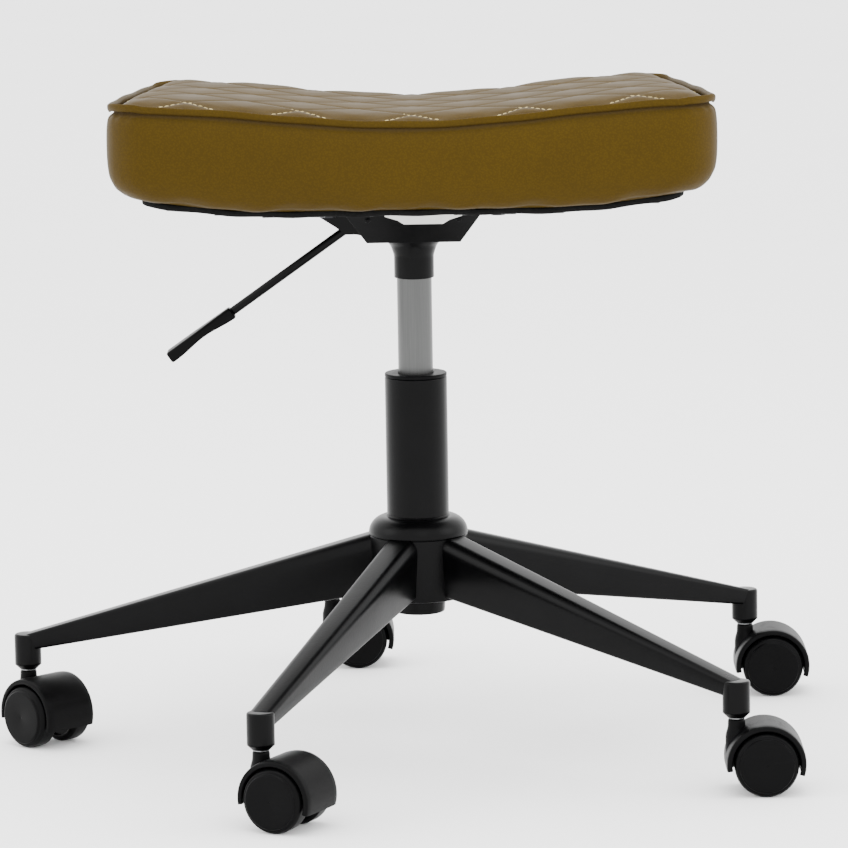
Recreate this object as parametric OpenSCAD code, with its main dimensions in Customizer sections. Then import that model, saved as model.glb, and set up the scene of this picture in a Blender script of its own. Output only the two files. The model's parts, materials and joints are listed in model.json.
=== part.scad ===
/* [Seat] */
// Length of the seat, side to side
seat_length = 472; // [400:1:560]
// Depth of the seat, front to back
seat_depth = 330; // [280:1:380]
// Height of the side band from the board's underside to the top seam, at mid seat
band_height = 64; // [50:1:90]
// Rise of the padded top above the seam
crown_height = 11; // [6:1:20]
// How far the seat's two ends curve up above its middle
saddle_rise = 14; // [0:1:24]
// How far the board's two ends curve up above its flat middle
board_rise = 12; // [0:1:20]
// Backward tilt of the seat, in degrees
seat_tilt = 1.5; // [0:0.5:4]
// Plan radius of the seat's four corners
seat_corner_r = 34; // [20:1:60]
// Thickness of the bent plywood board
board_t = 12; // [9:1:18]
// Thickness of the cover with its scrim
cover_t = 2; // [1.5:0.5:3]
// Thickness of the felt-backed dust cover
dust_cover_t = 5; // [2:0.5:8]

/* [Column] */
// Height of the board's underside above the floor at full lift
seat_z = 448; // [430:1:500]
// Travel of the gas lift
lift_travel = 70; // [40:1:85]
// Diameter of the outer column tube
tube_d = 50; // [46:1:54]
// Wall of the outer column tube
tube_wall = 2.5; // [2:0.1:3.5]
// Height of the column tube's top above the floor
tube_top_z = 298; // [290:1:310]
// Height of the column tube's bottom above the floor
tube_bottom_z = 106; // [100:1:112]
// Diameter of the gas cylinder
gas_d = 28; // [26:1:34]
// Diameter of the piston rod
rod_d = 10; // [8:1:12]
// Radial clearance of a running fit
running_gap = 0.05; // [0.02:0.01:0.1]

/* [Base] */
// Distance from the column's axis to each caster's stem
base_reach = 320; // [270:1:360]
// Angle of the first arm from +X, in degrees
arm_turn = 31.6; // [0:0.1:72]
// Height of an arm at the hub
arm_root_h = 52; // [44:1:56]
// Height of an arm at its tip
arm_tip_h = 13; // [10:1:20]
// Outer diameter of the socket at an arm's tip
socket_d = 21.5; // [20:0.5:26]
// Diameter of the hub's dome
hub_d = 80; // [76:1:92]

/* [Casters] */
// Diameter of a caster wheel
wheel_d = 50; // [44:1:54]
// Width of one wheel
wheel_w = 19; // [14:1:22]
// Gap between the two wheels of a caster
wheel_gap = 18; // [16:0.5:22]
// Offset of the axle from the swivel axis
caster_trail = 22; // [18:1:26]
// Diameter of a caster stem
stem_d = 11; // [10:1:12]
// Diameter of a wheel axle
axle_d = 6; // [5:0.5:7]

/* [Lever] */
// Diameter of the lever's rod
lever_d = 6.8; // [5:0.2:8]
// Length of the bare rod from its pivot to the handle
lever_reach = 132; // [110:1:150]
// Slope of the lever below level, in degrees
lever_slope = 35; // [25:1:40]
// Length of the handle
handle_length = 62; // [50:1:80]
// Travel of the release button
button_travel = 4; // [2:0.5:4]

/* [Hidden] */
$fn = 64;
over = 1;

// casters: where each one points at rest, by its trail's angle from +X
caster_turns = [0, 0, -46, -28, 0];
arm_count = 5;
function arm_angle(k) = arm_turn + 360 / arm_count * (k - 1);
wheel_r = wheel_d / 2;
hood_gap = 3;
hood_wall = 3;
hood_r = wheel_r + hood_gap + hood_wall;
wheel_proud = 4;
hood_w = 2 * (wheel_w - wheel_proud) + wheel_gap;
hood_skirt_z = wheel_r - 5;
web_w = 12;
stem_flange_h = 0.8;
boss_proud = 1.9;
hood_boss_top = wheel_r + hood_r + boss_proud;
stem_flange_z = hood_boss_top + 0.2;
socket_z = stem_flange_z + stem_flange_h;
hood_boss_r = 6.2;
journal_r = 4;
stem_r = stem_d / 2;
journal_z = wheel_r - 4;
journal_edge = 0.8;
journal_gap = 0.5;
stem_flange_r = stem_r + 1;
stem_point = 1.5;
socket_wall = 2.25;
sleeve_flange_h = 3.6;
socket_h = 29;
socket_roof = 3;
sleeve_roof_gap = 3;
sleeve_h = socket_h - socket_roof - sleeve_roof_gap;
stem_proud = 1.5;
stem_top_z = socket_z + sleeve_h + stem_proud;
ring_lift = 18;
ring_z = socket_z + ring_lift;
ring_h = 2;
ring_depth = 0.6;
sleeve_bore_r = stem_r + 0.3;
axle_r = axle_d / 2;
wheel_face_t = 3;
wheel_hub_wall = 3;
wheel_dish = 3;
wheel_tyre = 5;
rim_step = 1;
rim_w = 4.5;

// arms: widths of the top and the foot at the hub and at the tip, and the radii of the long edges
arm_root_top = 30;
arm_root_foot = 18;
arm_tip_top = 17;
arm_tip_foot = 11;
arm_shoulder = 6;
arm_edge = 4;

// hub and column
hub_r = hub_d / 2;
sleeve_lift = 11;
hub_bottom_z = tube_bottom_z + sleeve_lift;
foot_lift = 5.5;
dome_z = hub_bottom_z + foot_lift + arm_root_h;
dome_h = 13;
dome_round = 14;
dome_steps = 10;
cap_wall = 2;
tube_r = tube_d / 2;
taper_drop = 1;
sleeve_wall = 2;
tube_bore_r = tube_r - tube_wall;
floor_t = 3;
floor_z = tube_bottom_z + 6;
washer_t = 2;
washer_r = 14;
ball_r = 2.2;
ball_count = 8;
ball_gap = 0.06;
cage_t = 2;
cage_gap = 0.6;
spigot_r = rod_d / 2 - 1;
rod_r = rod_d / 2;
lower_washer_z = floor_z + floor_t;
balls_z = lower_washer_z + washer_t + ball_gap + ball_r;
upper_washer_z = balls_z + ball_r + ball_gap;
shoulder_z = upper_washer_z + washer_t;
clip_t = 1.5;
clip_w = 4;
bump_h = 15;
bump_r = 12;
bush_h = 58;
bush_flange_h = 3;
gas_r = gas_d / 2;
gas_wall = 1.5;
gas_bottom_z = tube_top_z - bush_h - 12;
gland_h = 14;
piston_h = 10;
piston_z = gas_bottom_z + gland_h + 1;
gas_taper_h = 46;
gas_taper_drop = 1;
gas_crimp = 1;
gas_top_z = seat_z - 16;
gas_taper_z = gas_top_z - gas_taper_h;
chamber_top_z = piston_z + piston_h + lift_travel + 6;
valve_r = 4;
button_top_z = gas_top_z + 6;
button_h = button_travel + 9;
button_pit_z = button_top_z - button_h - button_travel - 1;

// mechanism, measured down from the board's underside
plate_top = -(dust_cover_t + cover_t);
sheet_t = 2.5;
pan_bottom = -37;
pan_foot_x = 37;
pan_mouth_x = 58;
pan_foot_y = 50;
pan_mouth_y = 70;
flange_x = 76;
flange_y = 82;
flange_corner_r = 10;
bolt_x = 67;
bolt_y = 60;
bolt_r = 3;
bolt_clear_r = 3.4;
bolt_head_r = 5.5;
bolt_head_h = 4;
bolt_key_r = 2.9;
bolt_washer_r = 7;
bolt_washer_t = 1.5;
t_nut_r = 4;
t_nut_flange_r = 9;
t_nut_flange_t = 1.5;
t_nut_room = 1;
pan_z = seat_z + pan_bottom;
neck_r = gas_r + 5;
bell_r = gas_r + 9;
collar_r = gas_r + 2;
socket_gap = 0.15;
collar_h = 19;
bell_h = 14;
bell_waist_r = 0.35;
bell_waist_h = 0.62;
collar_edge = 1.2;
bell_z = pan_z - bell_h;
collar_z = bell_z - collar_h;
socket_top_z = gas_top_z - 1;
lever_pivot = [-38, 0, -19.5];
lever_boss_r = 5.5;
lever_boss_w = 14;
pin_r = 2.5;
ear_t = 2.5;
ear_gap = 0.3;
ear_r = 7;
cheek_toe = 8;
cheek_lift = 3;
tongue_t = 2.6;
tongue_w = 10;
tongue_gap = 0.3;
tongue_lift = button_top_z - seat_z + tongue_gap - lever_pivot[2];
button_throw = -lever_pivot[0];
slot_w = 12;
handle_w = 26;
handle_t = 12;
handle_grip = 16;
handle_neck_r = 6;
handle_end_r = 8;
handle_crown = 1;
tongue_heel = 12;
tongue_toe = 6;
tongue_slant = 2;
rod_end_play = 4;
label_w = 61;
label_h = 13;
label_t = 0.4;
label_shift = 8;
label_strip = 5;
label_waist = 9;
label_neck = 10;
label_foot = 15;
label_drop = 1.5;

// seat
seat_half = seat_length / 2;
saddle_end = 14;
saddle_reach = seat_half - saddle_end;
board_flat = 95;
end_r = 24;
edge_r = 16;
welt_t = 3;
welt_h = 6;
welt_gap = 0.3;
wrap_w = 24;
end_wrap = 30;
wrap_corner_r = 20;
dust_inset = 16;
strip_step = 12;
corner_steps = 6;

// height of the curved top above its middle, and of the board above its flat
function saddle(x) = saddle_rise / 2 * (1 - cos(180 * min(abs(x), saddle_reach) / saddle_reach));
function board_curve(x) =
    abs(x) <= board_flat ? 0
    : board_rise * (1 - cos(90 * (min(abs(x), saddle_reach) - board_flat) / (saddle_reach - board_flat)));
// both curves as straight runs between points strip_step apart, so every layer cuts the same facets
function run(x) = floor(x / strip_step);
function along(x) = x / strip_step - run(x);
function saddle_z(x) =
    saddle(run(x) * strip_step) * (1 - along(x)) + saddle((run(x) + 1) * strip_step) * along(x);
function board_z(x) =
    board_curve(run(x) * strip_step) * (1 - along(x)) + board_curve((run(x) + 1) * strip_step) * along(x);
function stations(half) = concat(
    [-half],
    [for (i = [-ceil(half / strip_step) + 1 : ceil(half / strip_step) - 1]) i * strip_step],
    [half]);
function flipped(list) = [for (i = [len(list) - 1 : -1 : 0]) list[i]];
function arc(centre, r, from, to, steps) =
    [for (i = [0 : steps]) centre + r * [cos(from + (to - from) * i / steps), sin(from + (to - from) * i / steps)]];
function round_rect(w, d, r, steps) = concat(
    arc([w / 2 - r, d / 2 - r], r, 0, 90, steps),
    arc([r - w / 2, d / 2 - r], r, 90, 180, steps),
    arc([r - w / 2, r - d / 2], r, 180, 270, steps),
    arc([w / 2 - r, r - d / 2], r, 270, 360, steps));

module tube(r_out, r_in, h) {
    difference() {
        cylinder(r = r_out, h = h);
        translate([0, 0, -over]) cylinder(r = r_in, h = h + 2 * over);
    }
}

module at_seat() {
    translate([0, 0, seat_z]) rotate([-seat_tilt, 0, 0]) children();
}

module at_tip(k) {
    rotate([0, 0, arm_angle(k)]) translate([base_reach, 0, 0]) children();
}

module at_caster(k) {
    at_tip(k) rotate([0, 0, caster_turns[k - 1] - arm_angle(k)]) children();
}

module at_bolts() {
    for (x = [-bolt_x, bolt_x], y = [-bolt_y, bolt_y])
        translate([x, y, 0]) children();
}

// ---- base ----

function dome_arc(inset) = [for (i = [0 : dome_steps])
    [hub_r - dome_round + (dome_round - inset) * cos(90 * i / dome_steps),
     dome_z + (dome_h - inset) * sin(90 * i / dome_steps)]];

function taper_r(z) = tube_r - taper_drop * (dome_z - z) / (dome_z - tube_bottom_z);

module sleeve_solid() {
    translate([0, 0, hub_bottom_z]) cylinder(r = tube_r + sleeve_wall, h = dome_z - hub_bottom_z);
}

// the pressed cap that covers the welds round the column
module hub_shell() {
    color("#1b1b1d") rotate_extrude() polygon(concat(
        dome_arc(0),
        [[tube_r, dome_z + dome_h], [tube_r, dome_z + dome_h - cap_wall]],
        flipped(dome_arc(cap_wall))));
}

module hub_sleeve() {
    color("#3a3a3d") difference() {
        sleeve_solid();
        translate([0, 0, hub_bottom_z])
            cylinder(r1 = taper_r(hub_bottom_z), r2 = tube_r, h = dome_z - hub_bottom_z);
    }
}

module arm_section(w_top, w_foot, h) {
    rotate([90, 0, 90]) linear_extrude(over) hull() {
        for (s = [-1, 1]) {
            translate([s * (w_top / 2 - arm_shoulder), h - arm_shoulder]) circle(r = arm_shoulder, $fn = 32);
            translate([s * (w_foot / 2 - arm_edge), arm_edge]) circle(r = arm_edge, $fn = 32);
        }
    }
}

module arm(k) {
    roof_z = socket_z + socket_h;
    color("#1b1b1d") difference() {
        union() {
            rotate([0, 0, arm_angle(k)]) hull() {
                translate([tube_r, 0, dome_z - arm_root_h]) arm_section(arm_root_top, arm_root_foot, arm_root_h);
                translate([base_reach, 0, roof_z - arm_tip_h]) arm_section(arm_tip_top, arm_tip_foot, arm_tip_h);
            }
            at_tip(k) translate([0, 0, socket_z + sleeve_flange_h])
                cylinder(r = socket_d / 2, h = socket_h - sleeve_flange_h);
        }
        sleeve_solid();
        at_tip(k) cylinder(r = socket_d / 2 - socket_wall, h = roof_z - socket_roof);
    }
}

module socket_sleeves() {
    flange_r = socket_d / 2;
    body_r = socket_d / 2 - socket_wall;
    color("#141414") for (k = [1 : arm_count])
        at_tip(k) translate([0, 0, socket_z]) difference() {
            union() {
                cylinder(r1 = body_r - 1.5, r2 = flange_r, h = sleeve_flange_h);
                translate([0, 0, sleeve_flange_h]) cylinder(r = body_r, h = sleeve_h - sleeve_flange_h);
            }
            translate([0, 0, -over]) cylinder(r = sleeve_bore_r, h = sleeve_h + 2 * over);
        }
}

module caster_stems() {
    color("#b9bcc0") for (k = [1 : arm_count]) at_tip(k) rotate_extrude() polygon([
        [0, journal_z + journal_gap],
        [journal_r - journal_edge, journal_z + journal_gap],
        [journal_r, journal_z + journal_gap + journal_edge],
        [journal_r, stem_flange_z],
        [stem_flange_r, stem_flange_z],
        [stem_flange_r, socket_z],
        [stem_r, socket_z],
        [stem_r, ring_z],
        [stem_r - ring_depth, ring_z],
        [stem_r - ring_depth, ring_z + ring_h],
        [stem_r, ring_z + ring_h],
        [stem_r, stem_top_z - stem_point],
        [stem_r - stem_point, stem_top_z],
        [0, stem_top_z]]);
}

module stem_grip_rings() {
    gap_angle = 24;
    color("#8f9296") for (k = [1 : arm_count]) at_tip(k) translate([0, 0, ring_z])
        rotate([0, 0, gap_angle / 2]) rotate_extrude(angle = 360 - gap_angle)
            translate([stem_r - ring_depth, 0]) square([sleeve_bore_r - stem_r + ring_depth, ring_h]);
}

// ---- column ----

module column_tube() {
    inner_r = taper_r(floor_z) - tube_wall;
    color("#161618") difference() {
        rotate_extrude() polygon([
            [0, tube_bottom_z],
            [taper_r(tube_bottom_z), tube_bottom_z],
            [tube_r, dome_z],
            [tube_r, tube_top_z],
            [tube_bore_r, tube_top_z],
            [tube_bore_r, dome_z],
            [inner_r, floor_z + floor_t],
            [0, floor_z + floor_t]]);
        translate([0, 0, tube_bottom_z - over])
            cylinder(r = taper_r(tube_bottom_z) - tube_wall - 1, h = floor_z - tube_bottom_z + over);
        translate([0, 0, floor_z - over]) cylinder(r = spigot_r + running_gap, h = floor_t + 2 * over);
    }
}

module guide_bush() {
    rim = 1.2;
    color("#232325") rotate_extrude() polygon([
        [gas_r + running_gap, tube_top_z - bush_h],
        [tube_bore_r, tube_top_z - bush_h],
        [tube_bore_r, tube_top_z],
        [tube_r, tube_top_z],
        [tube_r, tube_top_z + bush_flange_h - rim],
        [tube_r - rim, tube_top_z + bush_flange_h],
        [gas_r + running_gap, tube_top_z + bush_flange_h]]);
}

module thrust_washer(z) {
    color("#a7abb0") translate([0, 0, z]) tube(washer_r, spigot_r + running_gap, washer_t);
}

module lower_thrust_washer() {
    thrust_washer(lower_washer_z);
}

module upper_thrust_washer() {
    thrust_washer(upper_washer_z);
}

module ball_places() {
    for (i = [0 : ball_count - 1])
        rotate([0, 0, 360 / ball_count * i]) translate([(washer_r + spigot_r) / 2, 0, balls_z]) children();
}

module bearing_cage() {
    color("#c9a24b") difference() {
        translate([0, 0, balls_z - cage_t / 2]) tube(washer_r - cage_gap, spigot_r + cage_gap, cage_t);
        ball_places() translate([0, 0, -cage_t]) cylinder(r = ball_r + ball_gap, h = 2 * cage_t);
    }
}

module bearing_balls() {
    color("#d5d8db") ball_places() sphere(r = ball_r);
}

module piston_rod() {
    groove_z = floor_z - washer_t / 2 - clip_t;
    color("#c4c7cb") rotate_extrude() polygon([
        [0, tube_bottom_z + 1],
        [spigot_r - 0.5, tube_bottom_z + 1],
        [spigot_r, tube_bottom_z + 1.5],
        [spigot_r, groove_z],
        [spigot_r - ring_depth, groove_z],
        [spigot_r - ring_depth, groove_z + clip_t],
        [spigot_r, groove_z + clip_t],
        [spigot_r, shoulder_z],
        [rod_r, shoulder_z],
        [rod_r, piston_z],
        [spigot_r, piston_z],
        [spigot_r, piston_z + piston_h],
        [0, piston_z + piston_h]]);
}

module gas_piston() {
    color("#8b5a2b") translate([0, 0, piston_z])
        tube(gas_r - gas_wall - running_gap, spigot_r, piston_h);
}

module bump_stop() {
    color("#2a2a2a") translate([0, 0, shoulder_z]) tube(bump_r, rod_r + running_gap, bump_h);
}

module clip_washer() {
    color("#a7abb0") translate([0, 0, floor_z - washer_t / 2])
        tube(washer_r - 3, spigot_r + running_gap, washer_t / 2);
}

module retaining_clip() {
    gap_angle = 50;
    color("#5c5f63") translate([0, 0, floor_z - washer_t / 2 - clip_t])
        rotate([0, 0, gap_angle / 2]) rotate_extrude(angle = 360 - gap_angle)
            translate([spigot_r - ring_depth, 0]) square([clip_w, clip_t]);
}

module gas_cylinder() {
    color("#b4b7bb") rotate_extrude() polygon([
        [gas_r - gas_crimp, gas_bottom_z],
        [gas_r, gas_bottom_z + gas_crimp],
        [gas_r, gas_taper_z],
        [gas_r - gas_taper_drop, gas_top_z],
        [valve_r + running_gap, gas_top_z],
        [valve_r + running_gap, button_pit_z],
        [0, button_pit_z],
        [0, chamber_top_z],
        [gas_r - gas_wall, chamber_top_z],
        [gas_r - gas_wall, gas_bottom_z]]);
}

module cylinder_gland() {
    color("#3c3c40") translate([0, 0, gas_bottom_z]) tube(gas_r - gas_wall, rod_r + running_gap, gland_h);
}

module release_button() {
    color("#d8dadd") rotate_extrude() polygon([
        [0, button_top_z - button_h],
        [valve_r, button_top_z - button_h],
        [valve_r, button_top_z - 0.6],
        [valve_r - 0.6, button_top_z],
        [0, button_top_z]]);
}

// ---- mechanism under the seat ----

module taper_socket() {
    bore_r = gas_r - gas_taper_drop * (socket_top_z - gas_taper_z) / gas_taper_h;
    color("#1d1d1f") difference() {
        rotate_extrude() polygon([
            [gas_r + socket_gap, collar_z],
            [collar_r - collar_edge, collar_z],
            [collar_r, collar_z + collar_edge],
            [collar_r, bell_z],
            [collar_r + (bell_r - collar_r) * bell_waist_r, bell_z + bell_h * bell_waist_h],
            [bell_r, pan_z],
            [bell_r, pan_z + sheet_t],
            [neck_r, pan_z + sheet_t],
            [neck_r, socket_top_z],
            [bore_r, socket_top_z],
            [gas_r, gas_taper_z],
            [gas_r + socket_gap, gas_taper_z]]);
        at_seat() translate([0, 0, pan_bottom]) tube(2 * bell_r, neck_r + 0.2, 2 * sheet_t);
    }
}

module pan_form(inset, grow_up) {
    low = pan_bottom + inset;
    high = plate_top + grow_up;
    slant_x = (pan_mouth_x - pan_foot_x) / (plate_top - pan_bottom);
    slant_y = (pan_mouth_y - pan_foot_y) / (plate_top - pan_bottom);
    wide_x = inset * sqrt(1 + slant_x * slant_x) - inset * slant_x;
    wide_y = inset * sqrt(1 + slant_y * slant_y) - inset * slant_y;
    foot_x = pan_foot_x - wide_x;
    foot_y = pan_foot_y - wide_y;
    mouth_x = foot_x + slant_x * (high - low);
    mouth_y = foot_y + slant_y * (high - low);
    intersection() {
        translate([0, pan_mouth_y + flange_y, 0]) rotate([90, 0, 0])
            linear_extrude(2 * (pan_mouth_y + flange_y))
                polygon([[-foot_x, low], [foot_x, low], [mouth_x, high], [-mouth_x, high]]);
        translate([-pan_mouth_x - flange_x, 0, 0]) rotate([90, 0, 90])
            linear_extrude(2 * (pan_mouth_x + flange_x))
                polygon([[-foot_y, low], [foot_y, low], [mouth_y, high], [-mouth_y, high]]);
    }
}

module seat_plate() {
    color("#1a1a1c") at_seat() difference() {
        union() {
            difference() {
                union() {
                    pan_form(0, 0);
                    translate([0, 0, plate_top - sheet_t]) linear_extrude(sheet_t)
                        polygon(round_rect(2 * flange_x, 2 * flange_y, flange_corner_r, corner_steps));
                }
                pan_form(sheet_t, over);
            }
            lever_cheeks();
        }
        translate([0, 0, pan_bottom - over]) cylinder(r = neck_r + 0.2, h = sheet_t + 2 * over);
        at_bolts() translate([0, 0, plate_top - sheet_t - over])
            cylinder(r = bolt_clear_r, h = sheet_t + 2 * over);
        lever_slot();
    }
}

// two cheeks stand on the pan's floor, carry the lever's pin and reach out through its side
module lever_cheeks() {
    flange_z = plate_top - sheet_t / 2;
    foot_z = pan_bottom + sheet_t / 2;
    inner_x = lever_pivot[0] + ear_r;
    for (s = [-1, 1]) translate([0, s * (lever_boss_w / 2 + ear_gap + ear_t / 2), 0]) difference() {
        translate([0, ear_t / 2, 0]) rotate([90, 0, 0]) linear_extrude(ear_t) polygon([
            [inner_x, foot_z],
            [-pan_foot_x, foot_z],
            [lever_pivot[0] - cheek_toe, pan_bottom + cheek_lift],
            [lever_pivot[0] - 2 * cheek_toe, pan_bottom + cheek_lift],
            [lever_pivot[0] - 3 * cheek_toe, pan_bottom + 3 * cheek_lift],
            [-flange_x, pan_bottom + 6 * cheek_lift],
            [-flange_x, flange_z],
            [inner_x, flange_z]]);
        translate([lever_pivot[0], ear_t, lever_pivot[2]]) rotate([90, 0, 0])
            cylinder(r = pin_r, h = 2 * ear_t);
    }
}

module lever_slot() {
    translate([-pan_mouth_x, -slot_w / 2, pan_bottom + sheet_t])
        cube([pan_mouth_x + lever_pivot[0] - 2, slot_w, lever_pivot[2] - pan_bottom]);
}

module lever_pin() {
    reach = lever_boss_w / 2 + ear_gap + ear_t;
    color("#9da1a6") at_seat() translate([lever_pivot[0], reach, lever_pivot[2]])
        rotate([90, 0, 0]) cylinder(r = pin_r, h = 2 * reach);
}

module seat_bolts() {
    shank = board_t + t_nut_flange_t - plate_top + sheet_t + bolt_washer_t;
    color("#77797d") at_seat() at_bolts() translate([0, 0, plate_top - sheet_t - bolt_washer_t]) {
        difference() {
            translate([0, 0, -bolt_head_h]) cylinder(r = bolt_head_r, h = bolt_head_h);
            translate([0, 0, -bolt_head_h - over]) cylinder(r = bolt_key_r, h = bolt_head_h / 2 + over, $fn = 6);
        }
        cylinder(r = bolt_r, h = shank);
    }
}

module bolt_washers() {
    color("#8f9296") at_seat() at_bolts() translate([0, 0, plate_top - sheet_t - bolt_washer_t])
        tube(bolt_washer_r, bolt_clear_r, bolt_washer_t);
}

module t_nuts() {
    color("#9a9da1") at_seat() at_bolts() difference() {
        union() {
            cylinder(r = t_nut_r, h = board_t);
            translate([0, 0, board_t]) cylinder(r = t_nut_flange_r, h = t_nut_flange_t);
        }
        translate([0, 0, -over]) cylinder(r = bolt_r, h = board_t + t_nut_flange_t + 2 * over);
    }
}

module blank_label() {
    slant = atan((pan_mouth_y - pan_foot_y) / (plate_top - pan_bottom));
    half = label_w / 2;
    color("#e9e9e6") at_seat() translate([0, -pan_mouth_y, plate_top]) rotate([slant, 0, 0])
        translate([label_shift, 0, -sheet_t - label_drop]) rotate([90, 0, 0]) linear_extrude(label_t) polygon([
            [-half, 0],
            [half, 0],
            [half, -label_strip],
            [half - label_neck, -label_waist],
            [half - label_foot, -label_h],
            [label_foot - half, -label_h],
            [label_neck - half, -label_waist],
            [-half, -label_strip]]);
}

// ---- lever ----

module lever_rod() {
    color("#1c1c1e") at_seat() difference() {
        union() {
            translate(lever_pivot) rotate([0, -90 - lever_slope, 0])
                cylinder(r = lever_d / 2, h = lever_reach + handle_grip);
            translate(lever_pivot + [0, lever_boss_w / 2, 0]) rotate([90, 0, 0])
                cylinder(r = lever_boss_r, h = lever_boss_w);
            translate([lever_pivot[0], tongue_w / 2, lever_pivot[2]]) rotate([90, 0, 0])
                linear_extrude(tongue_w) polygon([
                    [0, -lever_boss_r / 2],
                    [button_throw - tongue_heel, tongue_lift],
                    [button_throw + tongue_toe, tongue_lift],
                    [button_throw + tongue_toe, tongue_lift + tongue_t],
                    [button_throw - tongue_heel - tongue_slant, tongue_lift + tongue_t],
                    [0, lever_boss_r / 2]]);
        }
        translate(lever_pivot + [0, lever_boss_w, 0]) rotate([90, 0, 0])
            cylinder(r = pin_r + running_gap, h = 2 * lever_boss_w);
    }
}

module lever_handle() {
    color("#1c1c1e") at_seat() translate(lever_pivot) rotate([0, -90 - lever_slope, 0])
        translate([0, 0, lever_reach]) difference() {
            hull() {
                translate([0, 0, handle_neck_r / 2]) rotate([0, 90, 0])
                    cylinder(r = handle_neck_r, h = handle_t - handle_neck_r / 2, center = true, $fn = 32);
                for (s = [-1, 1])
                    translate([handle_crown, s * (handle_w / 2 - handle_end_r), handle_length - handle_end_r])
                        rotate([0, 90, 0]) cylinder(r = handle_end_r, h = handle_t, center = true, $fn = 32);
            }
            translate([0, 0, -rod_end_play]) cylinder(r = lever_d / 2, h = handle_grip + rod_end_play);
        }
}

// ---- seat ----

// a slab as deep as asked, seen from the front as a closed outline
module front_extrude(outline) {
    translate([0, seat_depth, 0]) rotate([90, 0, 0]) linear_extrude(2 * seat_depth) polygon(outline);
}

// the body's outline from the front: its lower side follows the board, with round ends
module saddle_strip(half, low, high, r) {
    lower = concat(
        arc([r - half, r], r, 180, 270, corner_steps),
        [for (x = stations(half - r)) [x, 0]],
        arc([half - r, r], r, 270, 360, corner_steps));
    upper = flipped([for (x = stations(half)) [x, high + saddle_z(x)]]);
    front_extrude(concat([for (p = lower) p + [0, low + board_z(p[0])]], upper));
}

// a slab of even thickness that follows the saddle
module saddle_slab(low, high) {
    xs = stations(seat_half);
    front_extrude(concat(
        [for (x = xs) [x, low + saddle_z(x)]],
        flipped([for (x = xs) [x, high + saddle_z(x)]])));
}

// a slab of even thickness that follows the board
module board_slab(low, high) {
    xs = stations(seat_half);
    front_extrude(concat(
        [for (x = xs) [x, low + board_z(x)]],
        flipped([for (x = xs) [x, high + board_z(x)]])));
}

module edge_strip(half, low, r) {
    high = low + 2 * (band_height + crown_height + saddle_rise + board_rise);
    translate([-seat_length, 0, 0]) rotate([90, 0, 90]) linear_extrude(2 * seat_length)
        polygon(concat(
            arc([r - half, low + r], r, 180, 270, corner_steps),
            arc([half - r, low + r], r, 270, 360, corner_steps),
            [[half, high], [-half, high]]));
}

module plan(inset) {
    translate([0, 0, -seat_length]) linear_extrude(2 * seat_length)
        polygon(round_rect(seat_length - 2 * inset, seat_depth - 2 * inset,
                           seat_corner_r - inset * 0.5, corner_steps));
}

// the seat's body, reduced all round by inset and reaching up to top above the board's underside
module seat_form(inset, top) {
    intersection() {
        saddle_strip(seat_half - inset, inset - cover_t, top, end_r - inset);
        edge_strip(seat_depth / 2 - inset, inset - cover_t, edge_r - inset);
        plan(inset);
    }
}

module seat_band() {
    color("#7a5a12") at_seat() difference() {
        seat_form(0, band_height);
        seat_form(cover_t, band_height + over);
        translate([0, 0, -cover_t - over]) linear_extrude(cover_t + 2 * over)
            polygon(round_rect(seat_length - 2 * (wrap_w + end_wrap), seat_depth - 2 * wrap_w,
                               wrap_corner_r, corner_steps));
    }
}

module top_block(inset, low, high) {
    intersection() {
        saddle_slab(low, high);
        plan(inset);
    }
}

module seat_top() {
    lip = welt_t + welt_gap;
    high = band_height + crown_height;
    color("#c08f1d") at_seat() difference() {
        top_block(lip, band_height, high);
        top_block(lip + cover_t, band_height - over, high - cover_t);
    }
}

module seat_welt() {
    color("#a97c17") at_seat() difference() {
        top_block(0, band_height, band_height + welt_h);
        plan(welt_t);
    }
}

module seat_board() {
    color("#b08a5a") at_seat() difference() {
        intersection() {
            board_slab(0, board_t);
            plan(end_r);
        }
        at_bolts() translate([0, 0, -over]) cylinder(r = t_nut_r, h = board_t + 2 * over);
    }
}

module seat_foam() {
    color("#d9cfa8") at_seat() difference() {
        union() {
            seat_form(cover_t, band_height);
            top_block(welt_t + welt_gap + cover_t, band_height / 2, band_height + crown_height - cover_t);
        }
        intersection() {
            board_slab(-over, board_t);
            plan(end_r);
        }
        at_bolts() cylinder(r = t_nut_flange_r + t_nut_room, h = board_t + 4 * t_nut_flange_t);
    }
}

module dust_cover() {
    color("#17171a") at_seat() difference() {
        intersection() {
            board_slab(plate_top, -cover_t);
            plan(dust_inset);
        }
        at_bolts() translate([0, 0, plate_top - over])
            cylinder(r = bolt_clear_r, h = dust_cover_t + 2 * over);
    }
}

// ---- casters ----

module caster_hood(k) {
    color("#17171a") at_caster(k) difference() {
        union() {
            translate([caster_trail, hood_w / 2, wheel_r]) rotate([90, 0, 0]) difference() {
                cylinder(r = hood_r, h = hood_w);
                translate([0, 0, -over]) cylinder(r = hood_r - hood_wall, h = hood_w + 2 * over);
            }
            translate([caster_trail, web_w / 2, wheel_r]) rotate([90, 0, 0])
                cylinder(r = hood_r - hood_wall / 2, h = web_w);
            translate([0, 0, hood_skirt_z - 2]) cylinder(r = hood_boss_r, h = hood_boss_top - hood_skirt_z + 2);
        }
        translate([caster_trail - 2 * hood_r, -hood_w, -hood_r])
            cube([4 * hood_r, 2 * hood_w, hood_skirt_z + hood_r]);
        translate([0, 0, journal_z]) cylinder(r = journal_r + running_gap, h = hood_boss_top);
        translate([caster_trail, web_w, wheel_r]) rotate([90, 0, 0]) cylinder(r = axle_r, h = 2 * web_w);
    }
}

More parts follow.
